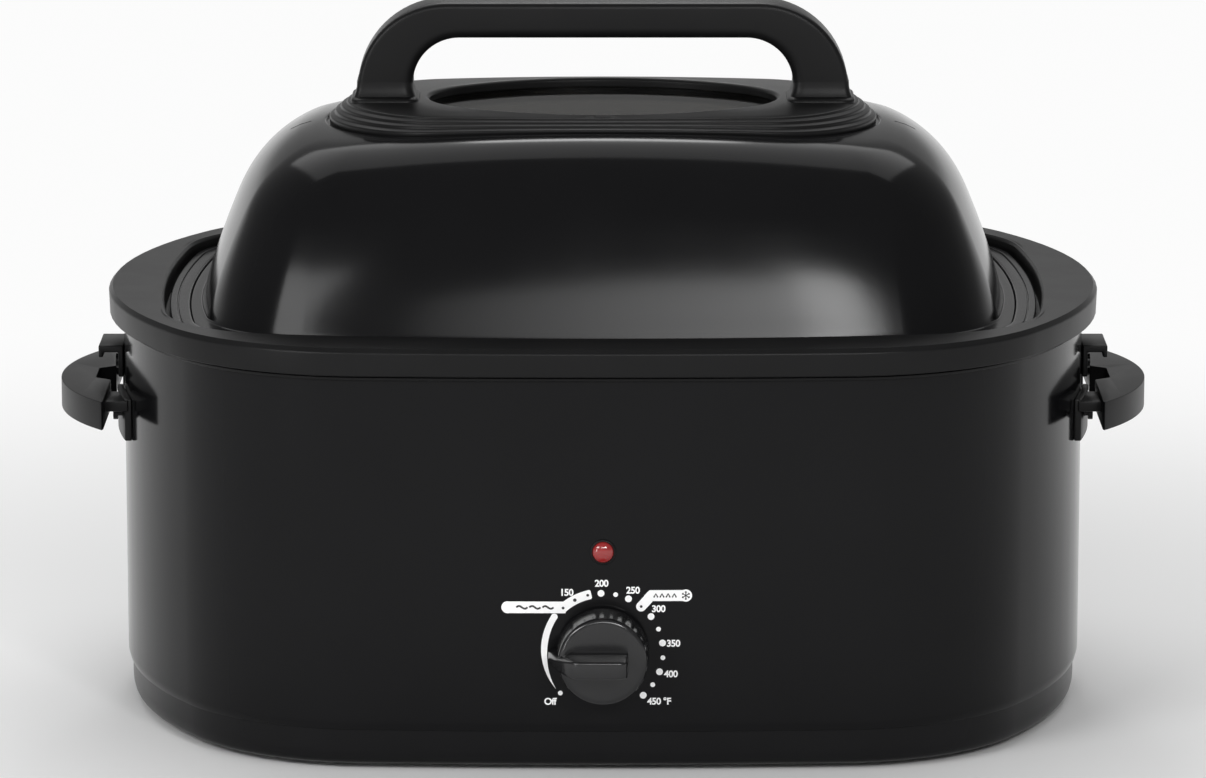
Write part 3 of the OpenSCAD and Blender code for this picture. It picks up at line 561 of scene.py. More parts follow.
def taken_apart(obj):
    """Vertices and faces of an object as it is drawn; the object itself goes."""
    deps = bpy.context.evaluated_depsgraph_get()
    mesh = bpy.data.meshes.new_from_object(obj.evaluated_get(deps))
    verts, faces = [tuple(v.co) for v in mesh.vertices], [tuple(p.vertices) for p in mesh.polygons]
    bpy.data.meshes.remove(mesh)
    discard(obj)
    return verts, faces


def reshaped(part, kind, *settings):
    """A part after one modifier of a kind for each dictionary of settings."""
    obj = to_object("reshaped", part)
    for values in settings:
        modifier = obj.modifiers.new(kind, kind)
        for key, value in values.items():
            setattr(modifier, key, value)
    verts, faces = taken_apart(obj)
    return [(x / MM, y / MM - BODY_Y, z / MM) for x, y, z in verts], faces


def eased(part, width, segments):
    """A part with its sharp edges rounded."""
    return reshaped(part, "BEVEL", {"width": width * MM, "segments": segments, "limit_method": "ANGLE",
                                    "angle_limit": radians(EASED_ANGLE)})


def cut_away(part, *parts):
    """A part less some closed parts."""
    cutters = [to_object("cutter", cutter) for cutter in parts]
    left = reshaped(part, "BOOLEAN", *[{"operation": "DIFFERENCE", "solver": "EXACT", "object": cutter}
                                       for cutter in cutters])
    for cutter in cutters:
        discard(cutter)
    return left


def rings_of(o, section, closed=False):
    """A ring round an oval for each (distance outward, height) of a section with softened corners."""
    return [flat_ring(grow(o, out), z) for out, z in softened(section, closed)]


def swept(o, section, closed=False):
    """A section carried round an oval: a closed one, or that of a sheet tray from under its floor to over it."""
    return skin(rings_of(o, section, closed), closed)


def prism(outline, low, high, upright=True):
    """An outline in X and Y that goes up along Z, or else one in X and Z that goes back along Y."""
    outline = softened(outline)
    return skin([[(u, v, h) if upright else (u, h, v) for u, v in outline] for h in (low, high)], False)


def turned(profile, steps, closed=False):
    """A profile of (radius, height) turned about Z."""
    rings = []
    for r, z in softened(profile, closed):
        r = max(r, LEAST_RADIUS)
        rings.append([(r * cos(TAU * i / steps), r * sin(TAU * i / steps), z) for i in range(steps)])
    return skin(rings, closed)


def tube(points, radius, closed=False, steps=12):
    """A round wire along a path."""
    path = [Vector(p) for p in points]
    n = len(path)
    rings = []
    side = None
    for i, p in enumerate(path):
        if closed:
            along = path[(i + 1) % n] - path[i - 1]
        else:
            along = path[min(i + 1, n - 1)] - path[max(i - 1, 0)]
        along.normalize()
        if side is None:
            side = along.orthogonal().normalized()
        side = (side - along * side.dot(along)).normalized()
        other = along.cross(side)
        angles = [TAU * k / steps for k in range(steps)]
        rings.append([tuple(p + side * (radius * cos(a)) + other * (radius * sin(a))) for a in angles])
    return skin(rings, closed)


def bent(points, radius, steps=6):
    """A path of straight runs whose corners are rounded."""
    path = [Vector(p) for p in points]
    out = [tuple(path[0])]
    for a, p, b in zip(path, path[1:], path[2:]):
        start, end = p + (a - p).normalized() * radius, p + (b - p).normalized() * radius
        for t in [k / steps for k in range(steps + 1)]:
            out.append(tuple(start * (1 - t) ** 2 + p * (2 * t * (1 - t)) + end * t ** 2))
    out.append(tuple(path[-1]))
    return out


def middle_height(name):
    low, high = node_box(name)
    return (low[2] + high[2]) / 2


# Operators, one for each group of pieces


class PieceOperator:
    bl_options = {"REGISTER", "UNDO"}

    def execute(self, context):
        self.make(context.scene.roaster_sizes)
        return {"FINISHED"}


class ROASTER_OT_shell(PieceOperator, bpy.types.Operator):
    """Painted outer shell with its rolled lower edge and the lock seam at the back"""

    bl_idname = "roaster.shell"
    bl_label = "Outer shell"

    def make(self, sizes):
        seam, back = sizes.seam_height / MM, WALL[1]
        section = softened([
            (-2.3, seam + 0.8), (-2.3, seam), (-1.2, seam, 0.6), (0, seam + 3.6, 2.4), (0, WALL_TOP),
            (-1, WALL_TOP), (-1, seam + 3, 1), (-1.8, seam + 0.9)])
        tall, parts = 60, 8
        rows = []
        for a, b in zip(section, section[1:] + section[:1]):
            rows.append(a)
            if abs(a[1] - b[1]) > tall:
                rows += [(a[0] + (b[0] - a[0]) * t / parts, a[1] + (b[1] - a[1]) * t / parts)
                         for t in range(1, parts)]
        lock_seam = prism([(-4.5, back - 0.4), (4.5, back - 0.4), (4.5, back + 0.5, 0.4), (-4.5, back + 0.5, 0.4)],
                          seam + 4, WALL_TOP - 1)
        piece("enamelled_shell", joined(swept(WALL, rows, True), lock_seam), baked_enamel, SMOOTH,
              "housing", "painted_steel", "outer_shell")


class ROASTER_OT_collar(PieceOperator, bpy.types.Operator):
    """Moulded collar: flat top, bevelled edges, outer band and the ledge round the well"""

    bl_idname = "roaster.collar"
    bl_label = "Rim collar"

    def make(self, sizes):
        top, under = RIM_TOP, WALL_TOP
        band_z = top - sizes.band_height / MM
        out, ease = RIM_OVERHANG, sizes.edge_round / MM
        rings = rings_of(WALL, [
            (0.4, band_z - 3.2, 0.4), (2.5, band_z - 3.2, 0.6), (2.9, band_z - 1.5, 0.4), (1.7, band_z - 1.4, 0.2),
            (1.7, band_z - 0.2, 0.2), (out - 0.5, band_z, 0.8), (out, top - 2.4, ease),
            (out - 2.2, top, ease)])
        rings += [self.between(out - 5.2, 3.0, t, top) for t in (0, 0.15, 0.3, 0.45, 0.6, 0.75, 0.9, 1)]
        rings += rings_of(RECESS, [
            (1.2, top, 1.0), (0, top - 1.3, 0.8), (0, top - 12.5, 1.2), (-9, top - 12.5),
            (-9, top - 14), (1.5, top - 14), (1.5, under)])
        rings += [self.between(out - 2, 2.5, t, under) for t in (1, 0.5, 0)]
        rings += rings_of(WALL, [
            (out - 1.6, top - 4), (out - 1.6, band_z + 0.8), (1.2, band_z + 0.8), (0.4, band_z - 2.6)])
        piece("rim_moulding", skin(rings, True), satin_moulding, 40, "housing", "rim_plastic", "rim_collar")

    def between(self, past_wall, past_recess, t, z):
        """A ring that goes point by point from the wall's oval to the recess's as t goes from 0 to 1."""
        pairs = zip(oval(grow(WALL, past_wall)), oval(grow(RECESS, past_recess)))
        return [(p[0] + (q[0] - p[0]) * t, p[1] + (q[1] - p[1]) * t, z) for p, q in pairs]


class ROASTER_OT_base(PieceOperator, bpy.types.Operator):
    """Base pan with rolled lower edge, a raised panel and a pocket over each foot"""

    bl_idname = "roaster.base"
    bl_label = "Base pan"

    def make(self, sizes):
        low, t = node_box("base_pan")[0][2], 1.2
        seam = sizes.seam_height / MM
        pan = swept(grow(WALL, -2.5), [
            (-62, low + 2.2), (-58, low + 2.2, 2), (-54, low, 2), (-7, low, 5), (-1.4, low + 1.6, 3),
            (0, low + 7, 3), (0, seam + 1.5, 1), (1.3, seam + 4.5, 1), (1.3, seam + 12), (0.3, seam + 12),
            (0.3, seam + 5), (-t, seam + 2), (-t, low + 7.4, 3), (-2.4, low + 2.8, 3), (-7, low + t, 4),
            (-54, low + t, 2), (-58, low + t + 2.2, 2), (-62, low + t + 2.2)])
        feet_low, feet_high = node_box("rubber_feet")
        foot_radius, steps = 15, 64
        x, y = feet_high[0] - foot_radius, (feet_high[1] - feet_low[1]) / 2 - foot_radius
        spots = [(sx * x, sy * y, 0) for sx in (-1, 1) for sy in (-1, 1)]
        pocket = turned([(17.4, low - 2), (17.4, low + 4.2)], steps)
        pan = cut_away(pan, *[moved(pocket, spot) for spot in spots])
        cup = turned([(19.6, low), (18.6, low + 6.4, 2), (6, low + 7.2), (2.2, low + 7.2), (2.2, low + 6),
                      (16.6, low + 6, 2), (17, low)], steps)
        cups = joined(*[moved(cup, spot) for spot in spots])
        piece("base_tray", pan, base_enamel, SMOOTH, "housing", "base_paint", "base_pan")
        piece("foot_pockets", cups, base_enamel, SMOOTH, "housing", "base_paint", "base_pan")


class ROASTER_OT_well(PieceOperator, bpy.types.Operator):
    """Heat well of aluminised sheet, hung on the collar's ledge, with the wool round it"""

    bl_idname = "roaster.well"
    bl_label = "Heat well"

    def make(self, sizes):
        low, high = node_box("heat_well")
        floor, ledge = low[2], high[2] - 1
        wall = grow(RECESS, -16)
        well = swept(wall, [
            (-60, floor + 2), (-57, floor + 2, 2), (-53, floor, 2), (-12, floor, 8), (0, floor + 13, 9),
            (0, ledge, 1), (12, ledge), (12, ledge + 1), (-1, ledge + 1, 1), (-1, floor + 13, 9),
            (-12.5, floor + 1, 8), (-53, floor + 1, 2), (-57, floor + 3, 2), (-60, floor + 3)])
        piece("heat_well_sheet", well, rolled_steel, SMOOTH, "housing", "bare_steel", "heat_well")
        low, high = node_box("insulation_wrap")
        wool = swept(wall, [(2.7, low[2], 3), (16.3, low[2], 5), (16.3, high[2], 5), (2.7, high[2], 3)], True)
        piece("wool_blanket", wool, mineral_wool, SMOOTH, "housing", "glass_wool", "insulation_wrap")


class ROASTER_OT_pan(PieceOperator, bpy.types.Operator):
    """Lift-out roasting pan with its turned-down rim and the step that carries the lid"""

    bl_idname = "roaster.pan"
    bl_label = "Roasting pan"

    def make(self, sizes):
        low, high = node_box("roasting_pan")
        rim, floor, t = high[2], low[2], 1.2
        step = rim - 2.6
        pan = swept(grow(RECESS, -20), [
            (-70, floor), (-23, floor, 16), (0, floor + 25, 18), (0, step - t, 2), (6.8, step - t, 1),
            (7, rim - t, 0.6), (15.4, rim - t, 0.8), (15.8, rim - 6.2), (17, rim - 6.2), (17, rim, 1.2),
            (13.1, rim, 0.3), (12.8, rim - 0.9), (12.2, rim - 0.9), (11.9, rim, 0.3), (6.0, rim, 1.0),
            (5.4, step, 0.6), (-t, step, 1.2), (-t, floor + 24, 16), (-24, floor + t, 16), (-70, floor + t)])
        piece("enamelled_pan", pan, speckled_enamel, SMOOTH, "pan", "pan_enamel", "roasting_pan")


class ROASTER_OT_rack(PieceOperator, bpy.types.Operator):
    """Chromed wire rack with feet and two lifting loops"""

    bl_idname = "roaster.rack"
    bl_label = "Wire rack"

    def make(self, sizes):
        low, high = node_box("wire_rack")
        thick, thin, cross_wires = 2.5, 1.5, 13
        ring = grow(RECESS, -33.2)
        z, loop_z = low[2] + 8.7, high[2] - thick
        outline = oval(ring)
        wires = [tube(flat_ring(ring, z), thick, True, 16)]
        side = ring[0] - 26
        for i in range(cross_wires):
            x = -side + 2 * side * i / (cross_wires - 1)
            y = min((p for p in outline if p[1] > 0), key=lambda p: abs(p[0] - x))[1]
            wires.append(tube([(x, -y, z + 2), (x, y, z + 2)], thin))
        for y in (-90, 0, 90):
            x = min((p for p in outline if p[0] > 0), key=lambda p: abs(p[1] - y))[0]
            wires.append(tube([(-x, y, z - 1), (x, y, z - 1)], thick))
        for sx in (-1, 1):
            for sy in (-1, 1):
                wires.append(tube([(sx * 150, sy * 90, low[2]), (sx * 150, sy * 90, z)], thick))
            x = sx * (ring[0] - 6)
            loop = [(x, -40, z), (x, -40, loop_z), (x, 40, loop_z), (x, 40, z)]
            wires.append(tube(bent(loop, 9), thick, False, 16))
        piece("bright_rack", joined(*wires), bright_wire, 60, "rack", "chrome_wire", "wire_rack")


def crown_level(x, y, crown):
    """Height of the lid's crown near the window."""
    return LID_LOW + LID_SHEET + crown * 0.9985 - (x * x + y * y) / CROWN_SPAN


class ROASTER_OT_lid(PieceOperator, bpy.types.Operator):
    """Domed lid: sloping walls, a tight shoulder, a low crown and the sunk seat round the window"""

    bl_idname = "roaster.lid"
    bl_label = "Lid"

    def make(self, sizes):
        low, t, slope = LID_LOW, LID_SHEET, 3.25
        seat = RIM_TOP + 90.5
        crown = sizes.crown_height / MM
        lid = grow(RECESS, -21)

        def level(s):
            """The lid's oval at s inward from its foot."""
            return (lid[0] - s, lid[1] - s, lid[2] + 13 - 0.6 * s, lid[3], lid[4])

        def ring(s, h, drop=0.0):
            """A ring at s inward and h up, which sags like the crown the more, the higher it is."""
            sag = (max(h, 0) / crown) ** 1.4
            return [(x, y, low + t + h - sag * (x * x + y * y) / CROWN_SPAN - drop) for x, y in oval(level(s))]

        profile = [(s - 4 * s / 20 * (1 - s / 20), s * slope) for s in (3, 6, 9, 12, 15, 18)]
        profile += curve((20, 20 * slope), (31.5, 20 * slope + 30.5), (55, 0.982 * crown), 16)
        profile += [(60, 0.992 * crown), (63.5, 0.9963 * crown)]
        rings = rings_of(lid, [(6.0, low, 0.3), (6.2, low + t, 0.5), (4, low + t)])
        rings += [ring(s, h) for s, h in softened([(-2, 0), (-0.2, 0, 1.4), (0.8, slope)], False) + profile]
        for d, sunk in softened([(4.0, 0), (1.9, 0, 0.8), (1.4, 2.6, 0.6), (-1.0, 3.2)], False):
            rings.append([(x, y, crown_level(x, y, crown) - sunk) for x, y in oval(grow(SURROUND, d))])
        rings += rings_of(BEZEL, [(-7.5, seat), (-7.5, seat - t)])
        rings.append(flat_ring(level(70), seat - t))
        # the inner skin, down again
        for s, h in reversed(profile):
            rings.append(ring(s + t * (1 - h / (1.02 * crown)), h, t * max(0.3, h / crown)))
        rings.append(flat_ring(level(t), low))
        slit = prism([(-6, -1, 0.9), (6, -1, 0.9), (6, 1, 0.9), (-6, 1, 0.9)], -14, 14)
        dome = cut_away(skin(rings, True), *[moved(slit, (side * 169, 0, seat)) for side in (-1, 1)])
        piece("domed_lid", dome, baked_enamel, 40, "lid", "painted_steel", "lid_shell")


def window_edge(d):
    """Outline of the four-arc window, grown outward by d, with as many points as an oval."""
    cx, half_w, r = 47, 66, 50
    long_r = (cx ** 2 + half_w ** 2 - r ** 2) / (2 * (half_w - r))
    cy = long_r - half_w
    lean = atan2(cy, cx)
    long_r, r = long_r + d, r + d
    steps = END_STEPS + CORNER_STEPS + FRONT_STEPS
    end_steps = steps * 6 // 10
    quarter = arc(cx, 0, r, 0, lean, end_steps) + arc(0, -cy, long_r, lean, pi / 2, steps - end_steps)
    return all_round(quarter, (0, long_r - cy), (-(cx + r), 0))


def even_rings(rings, count=240):
    """Rings of different outlines, sampled again at the same angles."""
    out = []
    for ring in rings:
        marks = sorted(((atan2(p[1], p[0]) % TAU, p) for p in ring), key=lambda mark: mark[0])
        (first, p), (last, q) = marks[0], marks[-1]
        marks = [(last - TAU, q)] + marks + [(first + TAU, p)]
        made = []
        j = 0
        for target in [TAU * k / count for k in range(count)]:
            while marks[j + 1][0] < target:
                j += 1
            (a, p), (b, q) = marks[j], marks[j + 1]
            s = (target - a) / (b - a)
            made.append(tuple(p[c] + (q[c] - p[c]) * s for c in range(3)))
        out.append(made)
    return out


class ROASTER_OT_surround(PieceOperator, bpy.types.Operator):
    """Window surround in low steps, with the arched lid handle that stands on it"""

    bl_idname = "roaster.surround"
    bl_label = "Window surround and lid handle"

    def make(self, sizes):
        low, high = node_box("lid_handle")
        seat, top = low[2], low[2] + 13
        crown = sizes.crown_height / MM
        rings = []
        # the steps: distance outward, and how far up from the crown to the top
        for d, up in softened([
                (-0.8, -0.25), (0, 0.0, 0.5), (0, 0.22, 0.9), (-3.2, 0.29, 0.8), (-3.4, 0.46, 0.9),
                (-6.4, 0.53, 0.8), (-6.6, 0.68, 0.9), (-9.8, 0.75, 0.8), (-10, 0.88, 0.9), (-14, 0.95, 2)], False):
            rings.append([(x, y, crown_level(x, y, crown) * (1 - up) + (top - 0.3) * up)
                          for x, y in oval(grow(SURROUND, d))])
        edge = softened([(7, top - 0.5, 3), (1.6, top, 1.2), (0, top - 1.4, 0.8), (0, top - 5)], False)
        rings += [at_height(window_edge(d), z) for d, z in edge + [(8.5, top - 5), (8.5, seat)]]
        handle = self.arch(top, high[2], sizes.grip_depth / MM) + self.pads(seat, top, sizes.grip_depth / MM)
        plate = skin(even_rings(rings), True)
        piece("lid_handle_moulding", joined(plate, *handle), satin_moulding, 36,
              "lid", "handle_plastic", "lid_handle")

    def arch(self, top, crest, depth):
        """The arch: sections along it, from the flared right leg over the bar to the left leg."""
        outer_r, inner_r, bar = 50.0, 26.0, 20.0
        foot, flare_height, flare_width = top - 8, 18, 8.5
        half, inner_half = ARCH_HALF, ARCH_HALF - ARCH_LEG
        # a row is (outer point, inner point, flare)
        rows = []
        for k in range(9):
            z = foot + flare_height * (k / 8) ** 1.4
            flare = flare_width * (1 - (z - foot) / flare_height) ** 2.2
            rows.append(((half + flare, z), (inner_half - flare, z), flare))
        z0, z1 = foot + flare_height, crest - outer_r
        for z in [z0 + (z1 - z0) * k / 6 for k in range(1, 7)]:
            rows.append(((half, z), (inner_half, z), 0))
        outer_x, inner_x, inner_z = half - outer_r, inner_half - inner_r, crest - bar - inner_r
        for a in [pi / 2 * k / 18 for k in range(1, 19)]:
            rows.append(((outer_x + outer_r * cos(a), z1 + outer_r * sin(a)),
                         (inner_x + inner_r * cos(a), inner_z + inner_r * sin(a)), 0))
        for k in range(1, 7):
            rows.append(((outer_x * (1 - k / 6), crest), (inner_x * (1 - k / 6), crest - bar), 0))
        rows += [((-o[0], o[1]), (-i[0], i[1]), f) for o, i, f in reversed(rows[:-1])]
        rings = []
        for o, i, flare in rows:
            o, i = Vector(o), Vector(i)
            mid, axis = (o + i) / 2, (o - i) / 2
            thick, deep = axis.length, depth / 2 + flare
            axis.normalize()
            corners = [(thick, deep, 3.6), (-thick, deep, 6.5), (-thick, -deep, 6.5), (thick, -deep, 3.6)]
            rings.append([(mid.x + axis.x * u, v, mid.y + axis.y * u) for u, v in softened(corners, True, 6)])
        return [skin(rings, False)]

    def pads(self, seat, top, depth):
        """A low pad under each leg."""
        corner, steps = 9, 8
        parts = []
        for side in (-1, 1):
            x = side * (ARCH_HALF - ARCH_LEG / 2)
            pad = []
            for inset, z in softened([
                    (0, seat + 3), (0, top + 0.4, 1.2), (1.8, top + 1.5, 1.2), (5, top + 1.7)], False):
                w, d = ARCH_LEG / 2 + 3.5 - inset, depth / 2 + 7.5 - inset
                corners = [(w, d, corner), (-w, d, corner), (-w, -d, corner), (w, -d, corner)]
                pad.append([(x + p[0], p[1], z) for p in softened(corners, True, steps)])
            parts.append(skin(pad, False))
        return parts


class ROASTER_OT_window(PieceOperator, bpy.types.Operator):
    """Tempered window with ground edges"""

    bl_idname = "roaster.window"
    bl_label = "Window glass"

    def make(self, sizes):
        low, high = node_box("window_glass")
        rows = [(4.2, low[2]), (4.9, low[2] + 0.7), (4.9, high[2] - 0.7), (4.2, high[2])]
        glass = skin([at_height(window_edge(d), z) for d, z in rows], False)
        piece("smoky_window", glass, smoky_glass, 30, "lid", "window_glass", "window_glass")


def facing_front(part, height, angle=0.0):
    """Turns a part drawn with its axis along Z to face the front of the body."""
    turn = Matrix.Rotation(pi / 2, 3, "X") @ Matrix.Rotation(-radians(angle), 3, "Z")
    return moved(part, (0, -WALL[1], height), turn)


class ROASTER_OT_knob(PieceOperator, bpy.types.Operator):
    """Control knob: round skirt, grip bar and pointer, at nine o'clock"""

    bl_idname = "roaster.knob"
    bl_label = "Control knob"

    # The grip bar from its blunt end to the pointer's tip: place along it, half width, height
    STATIONS = [(-13.4, 3.2, 34), (-13.2, 3.8, 39), (-12.6, 4.3, 41.8), (-11.4, 4.6, 43.3), (-9.5, 4.7, 43.9),
                (-7, 4.8, 44), (0, 4.8, 44), (8, 4.8, 44), (12.5, 4.8, 43.9), (14.5, 4.75, 43.5),
                (16.5, 4.6, 42.4), (19, 4.1, 39.8), (22, 3.4, 35.6), (25, 2.5, 30.4), (27.3, 1.7, 26.0),
                (28.7, 1.0, 23.2), (29.3, 0.5, 21.8)]

    def make(self, sizes):
        skirt = turned([(3, 2.4), (24.6, 2.2, 0.6), (25, 4.4, 0.8), (23.7, 22.6, 1.6), (22.0, 23.9, 1.6),
                        (15, 24.0), (0, 24.0)], 128)
        grip = skin([[(x, y, z) for x, z in self.section(y, w, top)] for y, w, top in self.STATIONS], False)
        knob = facing_front(joined(skirt, grip), middle_height("control_knob"), -90)
        piece("dial_knob", knob, gloss_moulding, 40, "knob", "knob_plastic", "control_knob")

    def section(self, y, w, top):
        """The bar's section at y: it flares into the skirt, and over the skirt's edge it is the pointer."""
        bottom, pointer_top = 3.0, 30
        flare = 1.8 * max(0.0, 1 - max(0.0, y - 14) / 8)
        if top < pointer_top:
            side = [(w + flare * 0.3, bottom), (w + flare * 0.2, bottom + 4), (w, bottom + 8), (w, bottom + 12),
                    (w, bottom + 14)]
        else:
            side = [(w + flare, bottom), (w + flare, 23.9), (w + flare * 0.42, 24.8), (w + flare * 0.12, 26.2),
                    (w, 28.2)]
        r = min(1.3, w * 0.7)
        side += [(w, top - r), (w - r * 0.12, top - r * 0.45), (w - r * 0.5, top - r * 0.1), (w - r, top)]
        return side + [(-x, z) for x, z in reversed(side)]


def on_wall(part, gap):
    """Lays a flat part, drawn in X and Z, on the front of the wall."""
    verts, faces = part
    return [(x, front_face(x) - gap, z) for x, z in verts], faces


def disc(x, z, r, steps=36):
    angles = [TAU * i / steps for i in range(steps)]
    return [(x + r * cos(a), z + r * sin(a)) for a in angles], [tuple(range(steps))]


def ribbon(middle, widths):
    """A flat band along a line of points, with one half width or one for each point."""
    n = len(middle)
    if not isinstance(widths, list):
        widths = [widths] * n
    verts = []
    for i, (p, w) in enumerate(zip(middle, widths)):
        a, b = middle[max(i - 1, 0)], middle[min(i + 1, n - 1)]
        dx, dz = b[0] - a[0], b[1] - a[1]
        length = hypot(dx, dz)
        nx, nz = -dz / length * w, dx / length * w
        verts += [(p[0] + nx, p[1] + nz), (p[0] - nx, p[1] - nz)]
    return verts, [(2 * i, 2 * i + 1, 2 * i + 3, 2 * i + 2) for i in range(n - 1)]


class ROASTER_OT_dial(PieceOperator, bpy.types.Operator):
    """Printed dial: dots, numerals, the low-heat crescent and two symbol tabs"""

    bl_idname = "roaster.dial"
    bl_label = "Dial print"

    # Text and its place from the dial's middle
    NUMERALS = [("150", -19.5, 32.6), ("200", -0.75, 37.6), ("250", 16.1, 33.8), ("300", 29.8, 23.6),
                ("350", 37.8, 4.5), ("400", 36.5, -12.4), ("450 °F", 30.2, -27.5), ("Off", -28.4, -27.6)]

    def make(self, sizes):
        cz = middle_height("control_knob")
        r = sizes.dial_radius / MM
        white, black = [], []
        first, second, third, fourth = WHITE_COATS
        over, topmost = BLACK_COATS

        def at(angle, radius=r):
            """A point at an angle in degrees, clockwise from the top."""
            a = radians(angle)
            return radius * sin(a), cz + radius * cos(a)

        def dot(layer, gap, where, size):
            layer.append(on_wall(disc(*where, size), gap))

        def line(layer, gap, points, widths):
            layer.append(on_wall(ribbon(points, widths), gap))

        for angle in (-1.9, 25, 52.9, 81.3, 109.9, 138):
            dot(white, first, at(angle), 1.85)
        for angle in (-134.8, 12.1, 67.2, 95.8, 124.2):
            dot(white, first, at(angle), 1.3)
        # low-heat crescent: full width for a third of its way, then thinner to its end
        start, end, steps, full = -53.5, -128.7, 40, 14
        sweep = [start - (start - end) * i / steps for i in range(steps + 1)]
        crescent = [at(a, r + 0.2 - 0.9 * sin(pi * i / steps)) for i, a in enumerate(sweep)]
        line(white, first, crescent, [
            1.75 * (1 if i < full else max(0.02, 1 - ((i - full) / (steps - full)) ** 1.6))
            for i in range(steps + 1)])
        dot(white, second, at(start, r + 0.2), 1.8)
        # low-heat tab: a bar that runs into a band round the dial
        bar_x, bar_z = -51.2, cz + 24.5
        line(white, first, [(bar_x, bar_z), (-20.0, bar_z)], 3.2)
        dot(white, third, (bar_x, bar_z), 3.3)
        line(white, second, [at(-43 + 31.0 * i / 24, r + 0.1) for i in range(25)], 2.55)
        line(white, third, [at(-12.4, r + 0.1), at(-11.2, r + 0.1)], [2.5, 1.9])
        # thaw tab: a slanted arm from its dot, then a bar with a round end
        thaw, end_x, end_z = at(39.3), 44.4, cz + 31
        line(white, first, [thaw, (24.6, cz + 29.6)], 2.7)
        dot(white, third, thaw, 2.7)
        tab = [(21.9, cz + 30.9), (24.9, cz + 34.0), (end_x, cz + 34.0), (end_x, cz + 28.0), (26.4, cz + 28.0)]
        white.append(on_wall((tab, [tuple(range(len(tab)))]), second))
        dot(white, fourth, (end_x, end_z), 3.35)
        for angle, size in ((-41.5, 0.75), (-27.9, 0.95), (-14.7, 0.75), (39.3, 0.75)):
            dot(black, over, at(angle), size)
        # three waves
        for x in [-46.5 + 7.0 * k for k in range(3)]:
            line(black, over, [(x + 6.0 * i / 20, bar_z + 0.75 * sin(TAU * i / 20)) for i in range(21)], 0.5)
        # snowflake: three bars with barbs near their ends
        for a in [pi * k / 3 + pi / 6 for k in range(3)]:
            dx, dz = cos(a), sin(a)
            line(black, over, [(end_x - 2.4 * dx, end_z - 2.4 * dz), (end_x + 2.4 * dx, end_z + 2.4 * dz)], 0.26)
            for way in (-1, 1):
                px, pz = end_x + way * 1.45 * dx, end_z + way * 1.45 * dz
                for lean in (-0.7, 0.7):
                    tip = (px + way * 0.85 * cos(a + lean), pz + way * 0.85 * sin(a + lean))
                    line(black, topmost, [(px, pz), tip], 0.2)
        # four zigzags
        for x in [27.2 + 3.3 * k for k in range(4)]:
            line(black, over, [(x, cz + 30.0), (x + 1.1, cz + 32.0), (x + 2.2, cz + 30.0)], 0.42)
        for text, x, z in self.NUMERALS:
            white.append(on_wall(lettering(text, x, cz + z, sizes.numeral_height / MM), first))
        piece("dial_print", joined(*white), white_ink, 60, "housing", "painted_steel")
        piece("dial_symbols", joined(*black), black_ink, 60, "housing", "painted_steel")


def lettering(text, x, z, height):
    """Flat numerals centred at x and z."""
    curve = bpy.data.curves.new("numerals", "FONT")
    curve.body = text
    curve.align_x = "CENTER"
    curve.align_y = "CENTER"
    curve.size = height / 0.7  # a numeral is 0.7 of its font's size
    curve.offset = 0.042 * height
    curve.space_character = 0.94
    curve.resolution_u = 6
    verts, faces = taken_apart(add_object("numerals", curve))
    return [(x + v[0], z + v[1]) for v in verts], faces


class ROASTER_OT_lamp(PieceOperator, bpy.types.Operator):
    """Indicator lamp: a red dome in a dark ring"""

    bl_idname = "roaster.lamp"
    bl_label = "Indicator lamp"

    def make(self, sizes):
        z = middle_height("indicator_lens")
        radius, rise, foot, steps = 5.7, 2.9, 0.7, 72
        dome = [(radius, 0.0), (radius, foot)]
        dome += [(radius * cos(a), foot + rise * sin(a)) for a in [pi / 2 * k / 14 for k in range(1, 15)]]
        lens = facing_front(turned(dome, steps), z)
        ring = turned([(5.75, 0.0), (6.9, 0.0), (6.9, 1.0, 0.5), (5.75, 1.3, 0.4)], steps, True)
        piece("lamp_lens", lens, ruby_dome, 60, "housing", "red_lens", "indicator_lens")
        piece("lamp_ring", facing_front(ring, z), satin_moulding, 50, "housing", "red_lens", "indicator_lens")


